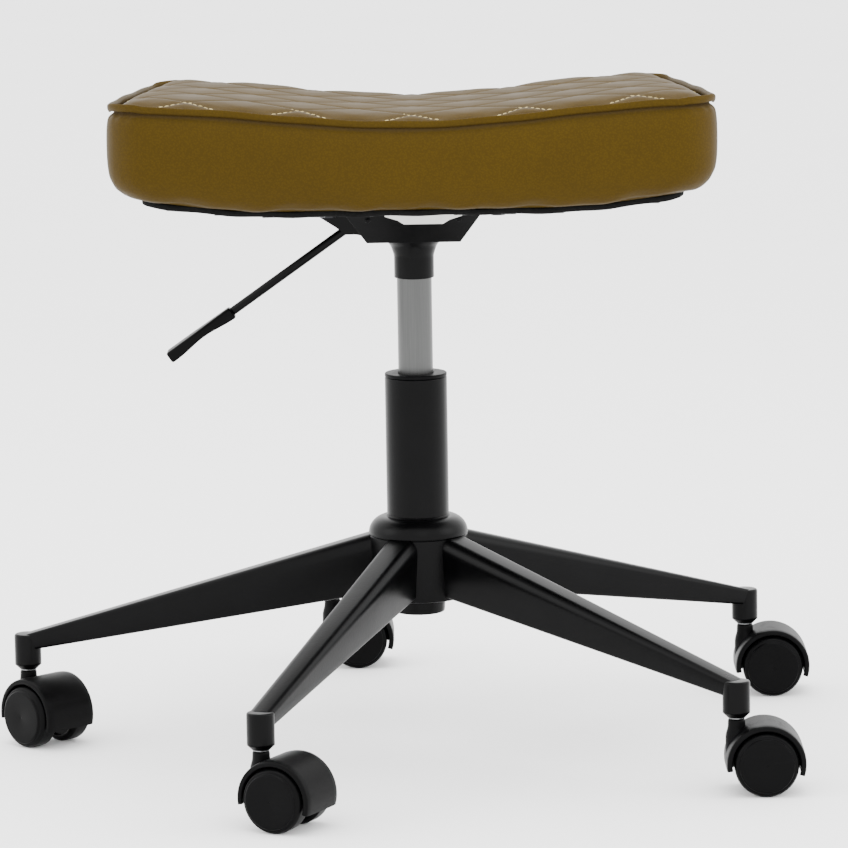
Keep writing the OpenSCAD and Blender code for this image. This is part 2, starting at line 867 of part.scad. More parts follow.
module caster_axle(k) {
    reach = wheel_gap / 2 + wheel_w - wheel_face_t - 0.5;
    color("#a7abb0") at_caster(k) translate([caster_trail, reach, wheel_r]) rotate([90, 0, 0])
        cylinder(r = axle_r, h = 2 * reach);
}

// one wheel, from its inner face at z = 0 to its plain outer face
module wheel_solid() {
    edge = 1.5;
    color("#121214") rotate_extrude() polygon([
        [axle_r + running_gap, 0],
        [axle_r + wheel_hub_wall, 0],
        [axle_r + wheel_hub_wall, wheel_dish],
        [wheel_r - wheel_tyre, wheel_dish],
        [wheel_r - wheel_tyre, 0],
        [wheel_r - edge, 0],
        [wheel_r, edge],
        [wheel_r, wheel_w - edge],
        [wheel_r - edge, wheel_w],
        [wheel_r - rim_w, wheel_w],
        [wheel_r - rim_w - rim_step, wheel_w - rim_step],
        [0, wheel_w - rim_step],
        [0, wheel_w - wheel_face_t],
        [axle_r + running_gap, wheel_w - wheel_face_t]]);
}

module wheel_left(k) {
    at_caster(k) translate([caster_trail, wheel_gap / 2, wheel_r]) rotate([-90, 0, 0]) wheel_solid();
}

module wheel_right(k) {
    at_caster(k) translate([caster_trail, -wheel_gap / 2, wheel_r]) rotate([90, 0, 0]) wheel_solid();
}

hub_shell();
hub_sleeve();
arm(1);  // arm_1
arm(2);  // arm_2
arm(3);  // arm_3
arm(4);  // arm_4
arm(5);  // arm_5
socket_sleeves();
caster_stems();
stem_grip_rings();
column_tube();
guide_bush();
lower_thrust_washer();
piston_rod();
gas_piston();
bearing_cage();
bearing_balls();
upper_thrust_washer();
bump_stop();
clip_washer();
retaining_clip();
gas_cylinder();
cylinder_gland();
taper_socket();
seat_plate();
lever_pin();
seat_bolts();
bolt_washers();
t_nuts();
blank_label();
dust_cover();
seat_board();
seat_foam();
seat_band();
seat_top();
seat_welt();
lever_rod();
lever_handle();
release_button();
caster_hood(1);  // caster_hood_1
caster_axle(1);  // caster_axle_1
wheel_left(1);  // wheel_left_1
wheel_right(1);  // wheel_right_1
caster_hood(2);  // caster_hood_2
caster_axle(2);  // caster_axle_2
wheel_left(2);  // wheel_left_2
wheel_right(2);  // wheel_right_2
caster_hood(3);  // caster_hood_3
caster_axle(3);  // caster_axle_3
wheel_left(3);  // wheel_left_3
wheel_right(3);  // wheel_right_3
caster_hood(4);  // caster_hood_4
caster_axle(4);  // caster_axle_4
wheel_left(4);  // wheel_left_4
wheel_right(4);  // wheel_right_4
caster_hood(5);  // caster_hood_5
caster_axle(5);  // caster_axle_5
wheel_left(5);  // wheel_left_5
wheel_right(5);  // wheel_right_5
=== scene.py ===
import json
import math

import bpy
from bpy.props import FloatProperty, FloatVectorProperty, IntProperty, PointerProperty
from mathutils import Matrix, Vector
from mathutils.bvhtree import BVHTree


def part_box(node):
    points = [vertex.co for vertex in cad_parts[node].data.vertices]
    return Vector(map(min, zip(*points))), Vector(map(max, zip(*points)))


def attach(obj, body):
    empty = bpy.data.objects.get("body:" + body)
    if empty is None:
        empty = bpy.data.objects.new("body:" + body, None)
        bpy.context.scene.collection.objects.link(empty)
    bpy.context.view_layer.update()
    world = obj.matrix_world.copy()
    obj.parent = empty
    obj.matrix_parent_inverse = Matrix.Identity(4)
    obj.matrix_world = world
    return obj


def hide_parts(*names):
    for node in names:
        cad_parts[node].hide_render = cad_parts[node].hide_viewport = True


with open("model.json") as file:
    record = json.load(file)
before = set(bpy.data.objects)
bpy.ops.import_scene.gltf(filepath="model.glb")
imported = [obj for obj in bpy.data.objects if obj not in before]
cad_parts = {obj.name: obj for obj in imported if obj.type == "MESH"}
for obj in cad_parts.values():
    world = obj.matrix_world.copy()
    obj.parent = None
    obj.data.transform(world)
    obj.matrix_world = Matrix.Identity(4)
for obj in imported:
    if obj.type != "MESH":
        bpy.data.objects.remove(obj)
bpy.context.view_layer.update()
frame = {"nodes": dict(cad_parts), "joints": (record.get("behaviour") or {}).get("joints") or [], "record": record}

bl_info = {
    "name": "Swivel Stool",
    "version": (1, 0, 0),
    "blender": (4, 5, 0),
    "location": "View3D > Sidebar > Stool",
    "description": "Models the upholstery, base and casters of a gas lift stool round its frame",
    "category": "Object",
}

JOINTS = {joint["name"]: joint for joint in frame["joints"]}
MM = 0.001
CASTERS = (1, 2, 3, 4, 5)

# the seat leans back by the slant of the lever's hinge, and its board lies a little above the cylinder's end
HINGE = Vector(JOINTS["lever_lift"]["axis"])
SEAT_TILT = math.atan2(-HINGE.z, HINGE.y)
BOARD_ABOVE_CYLINDER = 16 * MM
BOARD_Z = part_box("gas_cylinder")[1].z + BOARD_ABOVE_CYLINDER
SEAT = Matrix.Translation((0, 0, BOARD_Z)) @ Matrix.Rotation(-SEAT_TILT, 4, "X")


# ---- what a user would change ----


def length_of(name, default, description):
    return FloatProperty(name=name, description=description, default=default, unit="LENGTH", precision=4)


def colour_of(name, default, description):
    return FloatVectorProperty(name=name, description=description, default=default, size=3,
                               subtype="COLOR", min=0, max=1)


class StoolSeatSettings(bpy.types.PropertyGroup):
    length: length_of("Length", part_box("seat_band")[1].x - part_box("seat_band")[0].x, "Seat, side to side")
    depth: length_of("Depth", 330 * MM, "Seat, front to back")
    band: length_of("Band height", 64 * MM, "From the board's underside to the top seam")
    crown: length_of("Crown", 7 * MM, "Rise of the padded top above the seam")
    crown_reach: length_of("Crown reach", 46 * MM, "How far in from the seam the top still rises")
    saddle: length_of("Saddle", 14 * MM, "How far the ends of the top curve up")
    board_rise: length_of("Board rise", 12 * MM, "How far the ends of the board curve up")
    corner: length_of("Corner", 34 * MM, "Radius of the corners seen from above")
    back_draw: length_of("Back draw", 27 * MM, "How far each end draws in towards the back")
    back_drop: length_of("Back drop", 5 * MM, "How far the top seam falls towards the back")
    lower_edge: length_of("Lower edge", 20 * MM, "Radius of the wrapped lower edge")
    quilt_pitch: length_of("Quilt pitch", 87 * MM, "Width of one quilted diamond")
    quilt_depth: length_of("Quilt depth", 2.4 * MM, "How deep the quilting pulls the top in")
    stitch: length_of("Stitch", 4.6 * MM, "Length of one stitch")
    stitch_gap: length_of("Stitch gap", 1.5 * MM, "Space between two stitches")
    voxel: length_of("Cloth grain", 5 * MM, "Size of the mesh that the stuffing puffs up")
    puff_cap: length_of("Puff", 4 * MM, "How far the stuffing may push the cover out")
    pressure: FloatProperty(name="Pressure", description="Pressure of the stuffing", default=3000.0)


class StoolBaseSettings(bpy.types.PropertyGroup):
    root_width: length_of("Root width", 30 * MM, "Width of an arm's top at the hub")
    root_foot: length_of("Root foot", 25 * MM, "Width of an arm's underside at the hub")
    tip_width: length_of("Tip width", 21 * MM, "Width of an arm's top at its tip")
    shoulder: FloatProperty(name="Shoulder", description="Share of an arm's side taken by its round shoulder",
                            default=26, subtype="PERCENTAGE")
    turns: IntProperty(name="Turns", description="Faces round the column", default=96)


class StoolCasterSettings(bpy.types.PropertyGroup):
    rim: length_of("Rim", 4.6 * MM, "Width of the hood's rim round a wheel")
    wall: length_of("Wall", 3 * MM, "Thickness of the hood's shell")
    hook: FloatProperty(name="Hook",
                        description="How far the hood reaches below the axle at its trailing end",
                        default=math.radians(17), subtype="ANGLE")


class StoolFinishSettings(bpy.types.PropertyGroup):
    leather: colour_of("Leather", (0.04, 0.0235, 0.0012), "Mustard leather")
    # the crease colour is painted shade for the seams and creases; it also darkens the pebble grain
    leather_grain_and_shade: colour_of("Leather crease", (0.013, 0.0065, 0.0008), "Leather in seams and creases")
    thread: colour_of("Thread", (0.46, 0.36, 0.14), "Contrast thread of the quilting")
    paint: colour_of("Paint", (0.0006, 0.0006, 0.0007), "Black powder paint")
    plastic: colour_of("Plastic", (0.0008, 0.0008, 0.0009), "Black moulded plastic")
    steel: colour_of("Steel", (0.075, 0.076, 0.075), "Brushed steel of the cylinder")


class StoolStageSettings(bpy.types.PropertyGroup):
    distance: length_of("Distance", 4.5, "From the column to the camera")
    height: length_of("Height", 0.986, "Height of the camera above the floor")
    round_seat: FloatProperty(name="Round", description="How far the camera stands to the seat's right",
                              default=0.0, subtype="ANGLE")
    pitch: FloatProperty(name="Pitch", description="How far the camera looks down",
                         default=math.radians(9.194), subtype="ANGLE")
    roll: FloatProperty(name="Roll", description="How far the camera leans", default=math.radians(0.93),
                        subtype="ANGLE")
    lens: FloatProperty(name="Lens", description="Focal length in millimetres", default=240.7)


SETTINGS = {
    "stool_seat": StoolSeatSettings,
    "stool_base": StoolBaseSettings,
    "stool_caster": StoolCasterSettings,
    "stool_finish": StoolFinishSettings,
    "stool_stage": StoolStageSettings,
}


# ---- selecting and shaping ----


def deselect():
    for piece in list(bpy.context.selected_objects):
        piece.select_set(False)


def take(piece):
    """Makes this the only selected object."""
    deselect()
    piece.select_set(True)
    bpy.context.view_layer.objects.active = piece
    return piece


def edit(piece):
    take(piece)
    bpy.ops.object.mode_set(mode="EDIT")
    return piece


def leave():
    bpy.ops.object.mode_set(mode="OBJECT")


def everything():
    bpy.ops.mesh.select_all(action="SELECT")


def pick(piece, kind, test):
    """Selects the vertices, edges or faces whose middle passes the test, and goes on in edit mode."""
    bpy.ops.mesh.select_mode(type={"vertices": "VERT", "edges": "EDGE", "polygons": "FACE"}[kind])
    bpy.ops.mesh.select_all(action="DESELECT")
    leave()
    points = piece.data.vertices
    for element in getattr(piece.data, kind):
        if kind == "vertices":
            element.select = test(element.co)
        elif kind == "edges":
            a, b = (points[i].co for i in element.vertices)
            element.select = test((a + b) / 2, (b - a).normalized())
        else:
            element.select = test(element.center, element.normal)
    bpy.ops.object.mode_set(mode="EDIT")


def apply_modifiers(piece):
    take(piece)
    for modifier in list(piece.modifiers):
        bpy.ops.object.modifier_apply(modifier=modifier.name)
    return piece


def modify(piece, kind, **settings):
    """Adds one modifier with these settings and applies it."""
    modifier = piece.modifiers.new(kind.lower(), kind)
    for name, value in settings.items():
        setattr(modifier, name, value)
    return apply_modifiers(piece)


def smooth(piece, angle=math.radians(38)):
    take(piece)
    bpy.ops.object.shade_smooth_by_angle(angle=angle)
    return piece


def joined(name, pieces):
    """One object out of several, named after what they make."""
    if len(pieces) > 1:
        take(pieces[0])
        for piece in pieces:
            piece.select_set(True)
        bpy.ops.object.join()
    pieces[0].name = pieces[0].data.name = name
    return pieces[0]


def settle(piece, body, slot, *nodes, finish=None):
    """Gives a piece a finish, the body that it moves with and the nodes that it stands for."""
    piece.data.materials.clear()
    piece.data.materials.append(finishes()[finish or slot])
    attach(piece, body)
    if nodes:
        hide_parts(*nodes)
    return piece


def copied(piece, name, matrix):
    twin = piece.copy()
    twin.data = piece.data.copy()
    twin.name = twin.data.name = name
    bpy.context.scene.collection.objects.link(twin)
    twin.data.transform(matrix)
    return twin


def block(name, size, centre=(0, 0, 0)):
    """A box to start from."""
    deselect()
    bpy.ops.mesh.primitive_cube_add(size=1, location=centre)
    piece = bpy.context.object
    piece.name = piece.data.name = name
    piece.scale = size
    bpy.ops.object.transform_apply(location=True, rotation=True, scale=True)
    return piece


def softened(points, radius, steps=4):
    """An open outline whose inner corners are rounded off."""
    line = [Vector(points[0])]
    for before, corner, after in zip(points, points[1:], points[2:]):
        before, corner, after = Vector(before), Vector(corner), Vector(after)
        back, on = before - corner, after - corner
        reach = min(radius, back.length / 2.1, on.length / 2.1)
        a, b = corner + back.normalized() * reach, corner + on.normalized() * reach
        for i in range(steps + 1):
            t = i / steps
            line.append((1 - t) ** 2 * a + 2 * t * (1 - t) * corner + t ** 2 * b)
    return line + [Vector(points[-1])]


def spun(name, outline, steps=64, angle=math.tau, start=0.0):
    """Spins an outline of (radius, height) points round the upright axis, closing it where it is open."""
    deselect()
    bpy.ops.mesh.primitive_plane_add(size=0.01)
    piece = bpy.context.object
    piece.name = piece.data.name = name
    bpy.ops.object.mode_set(mode="EDIT")
    bpy.ops.mesh.select_mode(type="VERT")
    everything()
    bpy.ops.mesh.merge(type="CENTER")
    at = Vector((0, 0, 0))
    turn = Matrix.Rotation(start, 3, "Z")
    for i, (radius, height) in enumerate(outline):
        goal = turn @ Vector((radius, 0, height))
        step = {"value": goal - at}
        if i == 0:
            bpy.ops.transform.translate(**step)
        else:
            bpy.ops.mesh.extrude_vertices_move(TRANSFORM_OT_translate=step)
        at = goal
    everything()
    bpy.ops.mesh.spin(steps=steps, angle=angle, center=(0, 0, 0), axis=(0, 0, -1))
    everything()
    bpy.ops.mesh.remove_doubles(threshold=1e-6)
    if angle < math.tau:
        bpy.ops.mesh.select_non_manifold(extend=False)
        bpy.ops.mesh.fill_holes(sides=0)
        everything()
    bpy.ops.mesh.normals_make_consistent(inside=False)
    leave()
    return smooth(piece)


def rounded_copy(node, width):
    """A copy of a CAD node with its sharp edges broken."""
    piece = copied(frame["nodes"][node], node + "_shape", Matrix.Identity(4))
    piece.parent = None
    for key in list(piece.keys()):
        if key.startswith("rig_"):
            del piece[key]
    edit(piece)
    everything()
    bpy.ops.mesh.remove_doubles(threshold=1e-6)
    bpy.ops.mesh.customdata_custom_splitnormals_clear()
    bpy.ops.mesh.dissolve_limited(angle_limit=math.radians(1))
    leave()
    modify(piece, "BEVEL", width=width, segments=2, limit_method="ANGLE", angle_limit=math.radians(35),
           use_clamp_overlap=True)
    return smooth(piece)


# ---- finishes ----


class Shade:
    """A number on a shader socket that takes part in Python sums."""

    def __init__(self, recipe, socket):
        self.recipe = recipe
        self.socket = socket

    def sum(self, operation, first, second=0.0):
        return self.recipe.node("ShaderNodeMath", {"operation": operation}, {0: first, 1: second})

    def __add__(self, other):
        return self.sum("ADD", self, other)

    __radd__ = __add__

    def __mul__(self, other):
        return self.sum("MULTIPLY", self, other)

    __rmul__ = __mul__

    def __sub__(self, other):
        return self.sum("SUBTRACT", self, other)

    def __rsub__(self, other):
        return self.sum("SUBTRACT", other, self)

    def __pow__(self, other):
        return self.sum("POWER", self, other)


class Recipe:
    """One material being written: its nodes, and the shader that they feed."""

    def __init__(self, name, **constants):
        self.material = bpy.data.materials.new(name)
        self.material.use_nodes = True
        self.tree = self.material.node_tree
        self.shader = self.tree.nodes["Principled BSDF"]
        for socket, value in constants.items():
            self.shader.inputs[socket.replace("_", " ")].default_value = value

    def node(self, kind, settings=None, inputs=None, output=0):
        made = self.tree.nodes.new(kind)
        for name, value in (settings or {}).items():
            if name == "stops":
                for stop, (place, level) in zip(made.color_ramp.elements, value):
                    stop.position = place
                    stop.color = (level, level, level, 1)
            else:
                setattr(made, name, value)
        for name, value in (inputs or {}).items():
            self.feed(made.inputs[name], value)
        return Shade(self, made.outputs[output])

    def feed(self, socket, value):
        if isinstance(value, Shade):
            self.tree.links.new(value.socket, socket)
        else:
            socket.default_value = value

    def set(self, name, value):
        self.feed(self.shader.inputs[name], value)

    def place(self, stretch=(1, 1, 1)):
        """Where a point lies on the object, drawn out along its axes."""
        where = self.node("ShaderNodeTexCoord", output="Object")
        return self.node("ShaderNodeMapping", {}, {"Vector": where, "Scale": stretch})

    def noise(self, place, scale, detail=3.0, rough=0.55):
        return self.node("ShaderNodeTexNoise", {}, {"Vector": place, "Scale": scale, "Detail": detail,
                                                    "Roughness": rough})

    def cells(self, place, scale):
        return self.node("ShaderNodeTexVoronoi", {"feature": "F1"}, {"Vector": place, "Scale": scale})

    def ramp(self, value, low, high, bottom=0.0, top=1.0):
        """The value spread from bottom to top between low and high."""
        return self.node("ShaderNodeMapRange", {}, {"Value": value, "From Min": low, "From Max": high,
                                                    "To Min": bottom, "To Max": top})

    def mask(self, name):
        return self.node("ShaderNodeAttribute", {"attribute_name": name}, output="Fac")

    def mix(self, share, first, second):
        def full(colour):
            return colour if isinstance(colour, Shade) else (*colour, 1)
        return self.node("ShaderNodeMix", {"data_type": "RGBA"}, {0: share, 6: full(first), 7: full(second)},
                         output=2)

    def relief(self, height, distance, strength=1.0):
        self.set("Normal", self.node("ShaderNodeBump", {}, {"Height": height, "Distance": distance,
                                                            "Strength": strength}))


def scaled(colour, share):
    return tuple(channel * share for channel in colour)


def leather_finish():
    """Soft mustard leather: fine pebbles, pores, a slow change of tone, duller in the seams, and painted shade
    that darkens the seams, the quilting grooves and the underside of the welt.
    """
    look = bpy.context.scene.stool_finish
    made = Recipe("mustard_leather", Specular_IOR_Level=0.05)
    place = made.place()
    pebbles = made.cells(place, 620)
    pores = made.noise(place, 1500, 2)
    clouds = made.noise(place, 9, 4, 0.6)
    crease = made.mask("crease")
    tone = made.mix(made.ramp(clouds, 0.35, 0.65), scaled(look.leather, 0.93), scaled(look.leather, 1.06))
    tone = made.mix(made.ramp(pebbles, 0.25, 0.65, 0.0, 0.22), tone, look.leather_grain_and_shade)
    # painted shade: the crease mask darkens the colour in the seams, the quilting grooves and under the welt
    made.set("Base Color", made.mix(crease, tone, look.leather_grain_and_shade))
    made.set("Roughness", 0.43 + 0.1 * clouds + 0.12 * pores + 0.2 * crease)
    made.relief(1 - 0.7 * pebbles + 0.25 * pores, 0.12 * MM, 0.5)
    return made.material


def thread_finish():
    """Twisted thread: pale, with a fine lay across each stitch."""
    look = bpy.context.scene.stool_finish
    made = Recipe("quilting_thread", Roughness=0.6)
    place = made.place()
    fibres = made.node("ShaderNodeTexWave", {}, {"Vector": place, "Scale": 900, "Distortion": 2.0})
    made.set("Base Color", made.mix(fibres, scaled(look.thread, 0.75), look.thread))
    made.relief(fibres, 0.08 * MM, 0.6)
    return made.material


def paint_finish():
    """Black powder paint: glossy, with a faint orange peel and a little dust dulling it in patches."""
    look = bpy.context.scene.stool_finish
    made = Recipe("black_paint", Specular_IOR_Level=0.07)
    place = made.place()
    peel = made.noise(place, 420, 2)
    wear = made.noise(place, 26, 5, 0.65)
    made.set("Base Color", made.mix(made.ramp(wear, 0.45, 0.75), look.paint, scaled(look.paint, 1.8)))
    made.set("Roughness", 0.23 + 0.14 * wear)
    made.relief(peel, 0.12 * MM, 0.35)
    return made.material


def plastic_finish(name, rough, grain):
    """Black moulded plastic with a fine spark-eroded grain and slight scuffing."""
    look = bpy.context.scene.stool_finish
    made = Recipe(name, Specular_IOR_Level=0.05)
    place = made.place()
    texture = made.noise(place, grain, 2)
    scuffs = made.noise(made.place((1, 1, 6)), 40, 5, 0.7)
    worn = made.ramp(scuffs, 0.55, 0.78)
    made.set("Base Color", made.mix(worn, look.plastic, scaled(look.plastic, 2.2)))
    made.set("Roughness", rough + 0.1 * texture + 0.12 * worn)
    made.relief(texture, 0.06 * MM, 0.4)
    return made.material


def steel_finish(name, colour, rough, stretch):
    """Drawn steel: fine lines along its length, and soft bands between them."""
    made = Recipe(name, Metallic=1.0)
    lines = made.noise(made.place(stretch), 900, 3, 0.6)
    bands = made.noise(made.place(scaled(stretch, 0.12)), 900, 2)
    made.set("Base Color", made.mix(lines, scaled(colour, 0.78), scaled(colour, 1.15)))
    made.set("Roughness", rough + 0.16 * lines + 0.1 * bands)
    made.relief(lines, 0.02 * MM, 0.5)
    return made.material


def felt_finish():
    """Black needled felt with loose fibres."""
    made = Recipe("black_felt", Roughness=0.95, Specular_IOR_Level=0.1)
    place = made.place()
    fibres = made.noise(place, 700, 6, 0.75)
    pills = made.noise(place, 60, 3)
    tufts = made.ramp(fibres, 0.3, 0.75)
    made.set("Base Color", made.mix(tufts, (0.001, 0.001, 0.001), (0.008, 0.008, 0.008)))
    made.relief(fibres + pills, 0.3 * MM, 0.7)
    return made.material


def paper_finish():
    """A blank printed label: satin film with a faint cloudy tone, no marks."""
    made = Recipe("blank_label", Roughness=0.45)
    clouds = made.noise(made.place(), 120, 3)
    made.set("Base Color", made.mix(clouds, (0.52, 0.51, 0.49), (0.64, 0.63, 0.6)))
    made.relief(clouds, 0.1 * MM, 0.3)
    return made.material


def wood_finish():
    """Beech plywood: veneers a little over a millimetre thick with fine pores along them."""
    made = Recipe("plywood", Roughness=0.6)
    layers = made.node("ShaderNodeTexWave", {"bands_direction": "Z"},
                       {"Vector": made.place(), "Scale": 130, "Distortion": 0.6})
    grain = made.noise(made.place((12, 90, 90)), 6, 4)
    tone = made.mix(layers, (0.36, 0.22, 0.1), (0.62, 0.44, 0.24))
    made.set("Base Color", made.mix(0.35 * grain, tone, (0.25, 0.14, 0.06)))
    made.relief(grain, 0.1 * MM, 0.5)
    return made.material


def rubber_finish():
    made = Recipe("seal_rubber", Roughness=0.75)
    bloom = made.noise(made.place(), 180, 5, 0.7)
    made.set("Base Color", made.mix(bloom, (0.012, 0.012, 0.012), (0.045, 0.045, 0.045)))
    made.relief(bloom, 0.1 * MM, 0.5)
    return made.material


def foam_finish():
    made = Recipe("foam", Roughness=0.9)
    bubbles = made.cells(made.place(), 700)
    made.set("Base Color", made.mix(bubbles, (0.8, 0.72, 0.45), (0.55, 0.47, 0.26)))
    made.relief(1 - bubbles, 0.5 * MM)
    return made.material


def finishes():
    """Every finish by its slot, made once."""
    if not FINISHES:
        look = bpy.context.scene.stool_finish
        leather = leather_finish()
        FINISHES.update({
            "top_leather": leather,
            "side_leather": leather,
            "thread": thread_finish(),
            "black_paint": paint_finish(),
            "black_plastic": plastic_finish("black_plastic", 0.36, 900),
            "wheel_plastic": plastic_finish("wheel_plastic", 0.3, 1300),
            "satin_steel": steel_finish("drawn_steel", look.steel, 0.24, (1, 1, 0.02)),
            "bright_steel": steel_finish("bright_steel", (0.16, 0.162, 0.165), 0.14, (1, 1, 0.1)),
            "dark_steel": steel_finish("dark_steel", (0.03, 0.03, 0.032), 0.3, (1, 1, 0.3)),
            "brass": steel_finish("brass", (0.2, 0.13, 0.05), 0.25, (1, 1, 1)),
            "felt": felt_finish(),
            "label": paper_finish(),
            "plywood": wood_finish(),
            "rubber": rubber_finish(),
            "foam": foam_finish(),
        })
    return FINISHES


FINISHES = {}


# ---- the seat's curves, in the seat's own frame: x along it, y to the back, h up from the board ----


def ease(t):
    t = min(max(t, 0.0), 1.0)
    return t * t * (3 - 2 * t)


def curve_reach():
    """How far from the middle both curves go on rising."""
    return bpy.context.scene.stool_seat.length / 2 - 14 * MM


def saddle_at(x):
    """Height of the curved top above its middle."""
    seat = bpy.context.scene.stool_seat
    reach = curve_reach()
    return seat.saddle / 2 * (1 - math.cos(math.pi * min(abs(x), reach) / reach))


def board_at(x):
    """Height of the bent board above its flat middle."""
    seat = bpy.context.scene.stool_seat
    reach = curve_reach()
    flat = 95 * MM
    if abs(x) <= flat:
        return 0.0
    return seat.board_rise * (1 - math.cos(math.pi / 2 * (min(abs(x), reach) - flat) / (reach - flat)))


def backward(y):
    """Share of the way from the front edge to the back edge."""
    return min(max(y / bpy.context.scene.stool_seat.depth + 0.5, 0.0), 1.0)


def drawn_in(x, y):
    """Where a place's x goes when the ends draw in towards the back."""
    seat = bpy.context.scene.stool_seat
    return x * (1 - seat.back_draw / (seat.length / 2) * backward(y) ** 1.6)


def seam_drop(y):
    return bpy.context.scene.stool_seat.back_drop * ease(backward(y))


def edge_distance(x, y, inset=0.0):
    """How far a place lies inside the seat's outline."""
    seat = bpy.context.scene.stool_seat
    corner = seat.corner - inset / 2
    dx = abs(x) - (seat.length / 2 - inset - corner)
    dy = abs(y) - (seat.depth / 2 - inset - corner)
    outside = math.hypot(max(dx, 0), max(dy, 0))
    return corner - outside - min(max(dx, dy), 0)


def outline_points(inset, step):
    """Places round the seat's outline, and the way out at each."""
    seat = bpy.context.scene.stool_seat
    corner = seat.corner - inset / 2
    half_x = seat.length / 2 - inset - corner
    half_y = seat.depth / 2 - inset - corner
    corner_steps = 9
    corners = [(1, 1), (-1, 1), (-1, -1), (1, -1)]
    sides = [(2 * half_x, (-1, 0)), (2 * half_y, (0, -1)), (2 * half_x, (1, 0)), (2 * half_y, (0, 1))]
    places = []
    for i, ((sx, sy), (length, onward)) in enumerate(zip(corners, sides)):
        for j in range(corner_steps + 1):
            angle = math.pi / 2 * (i + j / corner_steps)
            way = Vector((math.cos(angle), math.sin(angle)))
            places.append((Vector((sx * half_x, sy * half_y)) + corner * way, way))
        here, way = places[-1]
        count = max(2, round(length / step))
        for j in range(1, count):
            places.append((here + Vector(onward) * length * j / count, way))
    return places


def quilt_distance(x, y):
    """How far a place lies from the nearest quilting seam. The seams run at 45 degrees both ways."""
    pitch = bpy.context.scene.stool_seat.quilt_pitch
    nearest = 1.0
    for along in (x + y, x - y):
        share = along / pitch - 0.5
        nearest = min(nearest, abs(share - round(share)) * pitch / math.sqrt(2))
    return nearest


# how firmly every point of the cover is held to the foam under it, from 0 to 1
CORE_HOLD = 0.6


def puff(piece, pressure, cap, frames=20):
    """Lets the stuffing push the cover out, no further than the cap, and less towards the bottom."""
    rest = [vertex.co.copy() for vertex in piece.data.vertices]
    core = piece.vertex_groups.new(name="core")
    core.add(range(len(rest)), CORE_HOLD, "REPLACE")
    cloth = piece.modifiers.new("stuffing", "CLOTH")
    cloth.settings.vertex_group_mass = core.name
    cloth.settings.use_pressure = True
    cloth.settings.uniform_pressure_force = pressure
    cloth.settings.effector_weights.gravity = 0
    cloth.point_cache.frame_start = 1
    cloth.point_cache.frame_end = frames
    for number in range(1, frames + 1):
        bpy.context.scene.frame_set(number)
    apply_modifiers(piece)
    bpy.context.scene.frame_set(1)
    for vertex, start in zip(piece.data.vertices, rest):
        move = vertex.co - start
        if move.length > cap:
            move = move.normalized() * cap
        floor = ease((start.z - 2 * MM) / (12 * MM))
        vertex.co = start + move * floor


class STOOL_OT_cushion(bpy.types.Operator):
    """Model the padded seat: a stuffed cover with a saddle top, quilting and a wrapped lower edge"""

    bl_idname = "stool.cushion"
    bl_label = "Cushion"

    def execute(self, context):
        seat = context.scene.stool_seat
        slack = 0.3 * MM
        wrap = 2 * MM
        size = (seat.length - 2 * slack, seat.depth - 2 * slack, seat.band + wrap)
        piece = block("seat_cushion", size, (0, 0, (seat.band - wrap) / 2))
        edit(piece)
        pick(piece, "edges", lambda middle, way: abs(way.z) > 0.9)
        bpy.ops.mesh.bevel(offset=seat.corner - slack / 2, segments=10)
        pick(piece, "edges", lambda middle, way: middle.z < -wrap + MM)
        bpy.ops.mesh.bevel(offset=seat.lower_edge, segments=6)
        leave()
        modify(piece, "REMESH", mode="VOXEL", voxel_size=seat.voxel)
        puff(piece, seat.pressure, seat.puff_cap)
        modify(piece, "SUBSURF", levels=1, render_levels=1)
        self.shape(piece, seat)
        piece.data.transform(SEAT)
        take(piece)
        bpy.ops.object.shade_smooth()
        settle(piece, "seat", "top_leather", "seat_foam", "seat_band", "seat_top")
        return {"FINISHED"}

    def shape(self, piece, seat):
        """Curves the puffed form to the saddle and the board, then pulls in its seams and its quilting, and paints
        shade along them.
        """
        # the crease attribute holds painted shade: darker leather along the quilting grooves and a painted shadow
        # line just below the top seam
        crease = piece.data.attributes.new("crease", "FLOAT", "POINT")
        lip = 3.4 * MM
        slopes = [vertex.normal.z for vertex in piece.data.vertices]
        for i, vertex in enumerate(piece.data.vertices):
            x, y, h = vertex.co
            inside = edge_distance(x, y)
            share = min(max(h / seat.band, 0.0), 1.0)
            upward = ease((slopes[i] - 0.25) / 0.5)
            top = ease((h - (seat.band - 3 * MM)) / (3 * MM)) * upward
            lift = board_at(x) * (1 - share) + saddle_at(x) * share
            deep = 0.0
            if top > 0:
                run = min(max((inside - lip) / seat.crown_reach, 0.0), 1.0)
                dome = math.sqrt(max(1 - (1 - run) ** 2, 0.0))
                lift += top * (seat.crown * dome - seat.puff_cap * 0.5)
                near = quilt_distance(x, y)
                groove = math.exp(-(near / (3.2 * MM)) ** 2)
                pillow = ease(near / (20 * MM))
                settled = ease((inside - 8 * MM) / (12 * MM))
                lift += top * settled * seat.quilt_depth * (0.65 * pillow - 0.75 * groove)
                # painted shade in the quilting grooves
                deep = 0.35 * top * settled * math.exp(-(near / (1.3 * MM)) ** 2)
            below_seam = seat.band - h
            tuck = math.exp(-((below_seam - 1.0 * MM) / (2.6 * MM)) ** 2) * (1 - top)
            way = Vector((x, y, 0)).normalized()
            if inside < 12 * MM:
                vertex.co -= way * tuck * 2.2 * MM
                # painted shadow under the welt lip, on the band just below the seam
                deep = max(deep, 0.85 * math.exp(-((below_seam - 0.6 * MM) / (2.0 * MM)) ** 2))
            hem = ease((9 * MM - h) / (8 * MM)) * ease((24 * MM - inside) / (8 * MM))
            wave = 0.9 * math.sin(x * 71 + 1.3) + 0.6 * math.sin(x * 163 + y * 90) + 0.5 * math.sin(y * 120)
            vertex.co.z += lift - share * seam_drop(y) + hem * wave * 0.9 * MM
            vertex.co.x = drawn_in(vertex.co.x, y)
            crease.data[i].value = deep


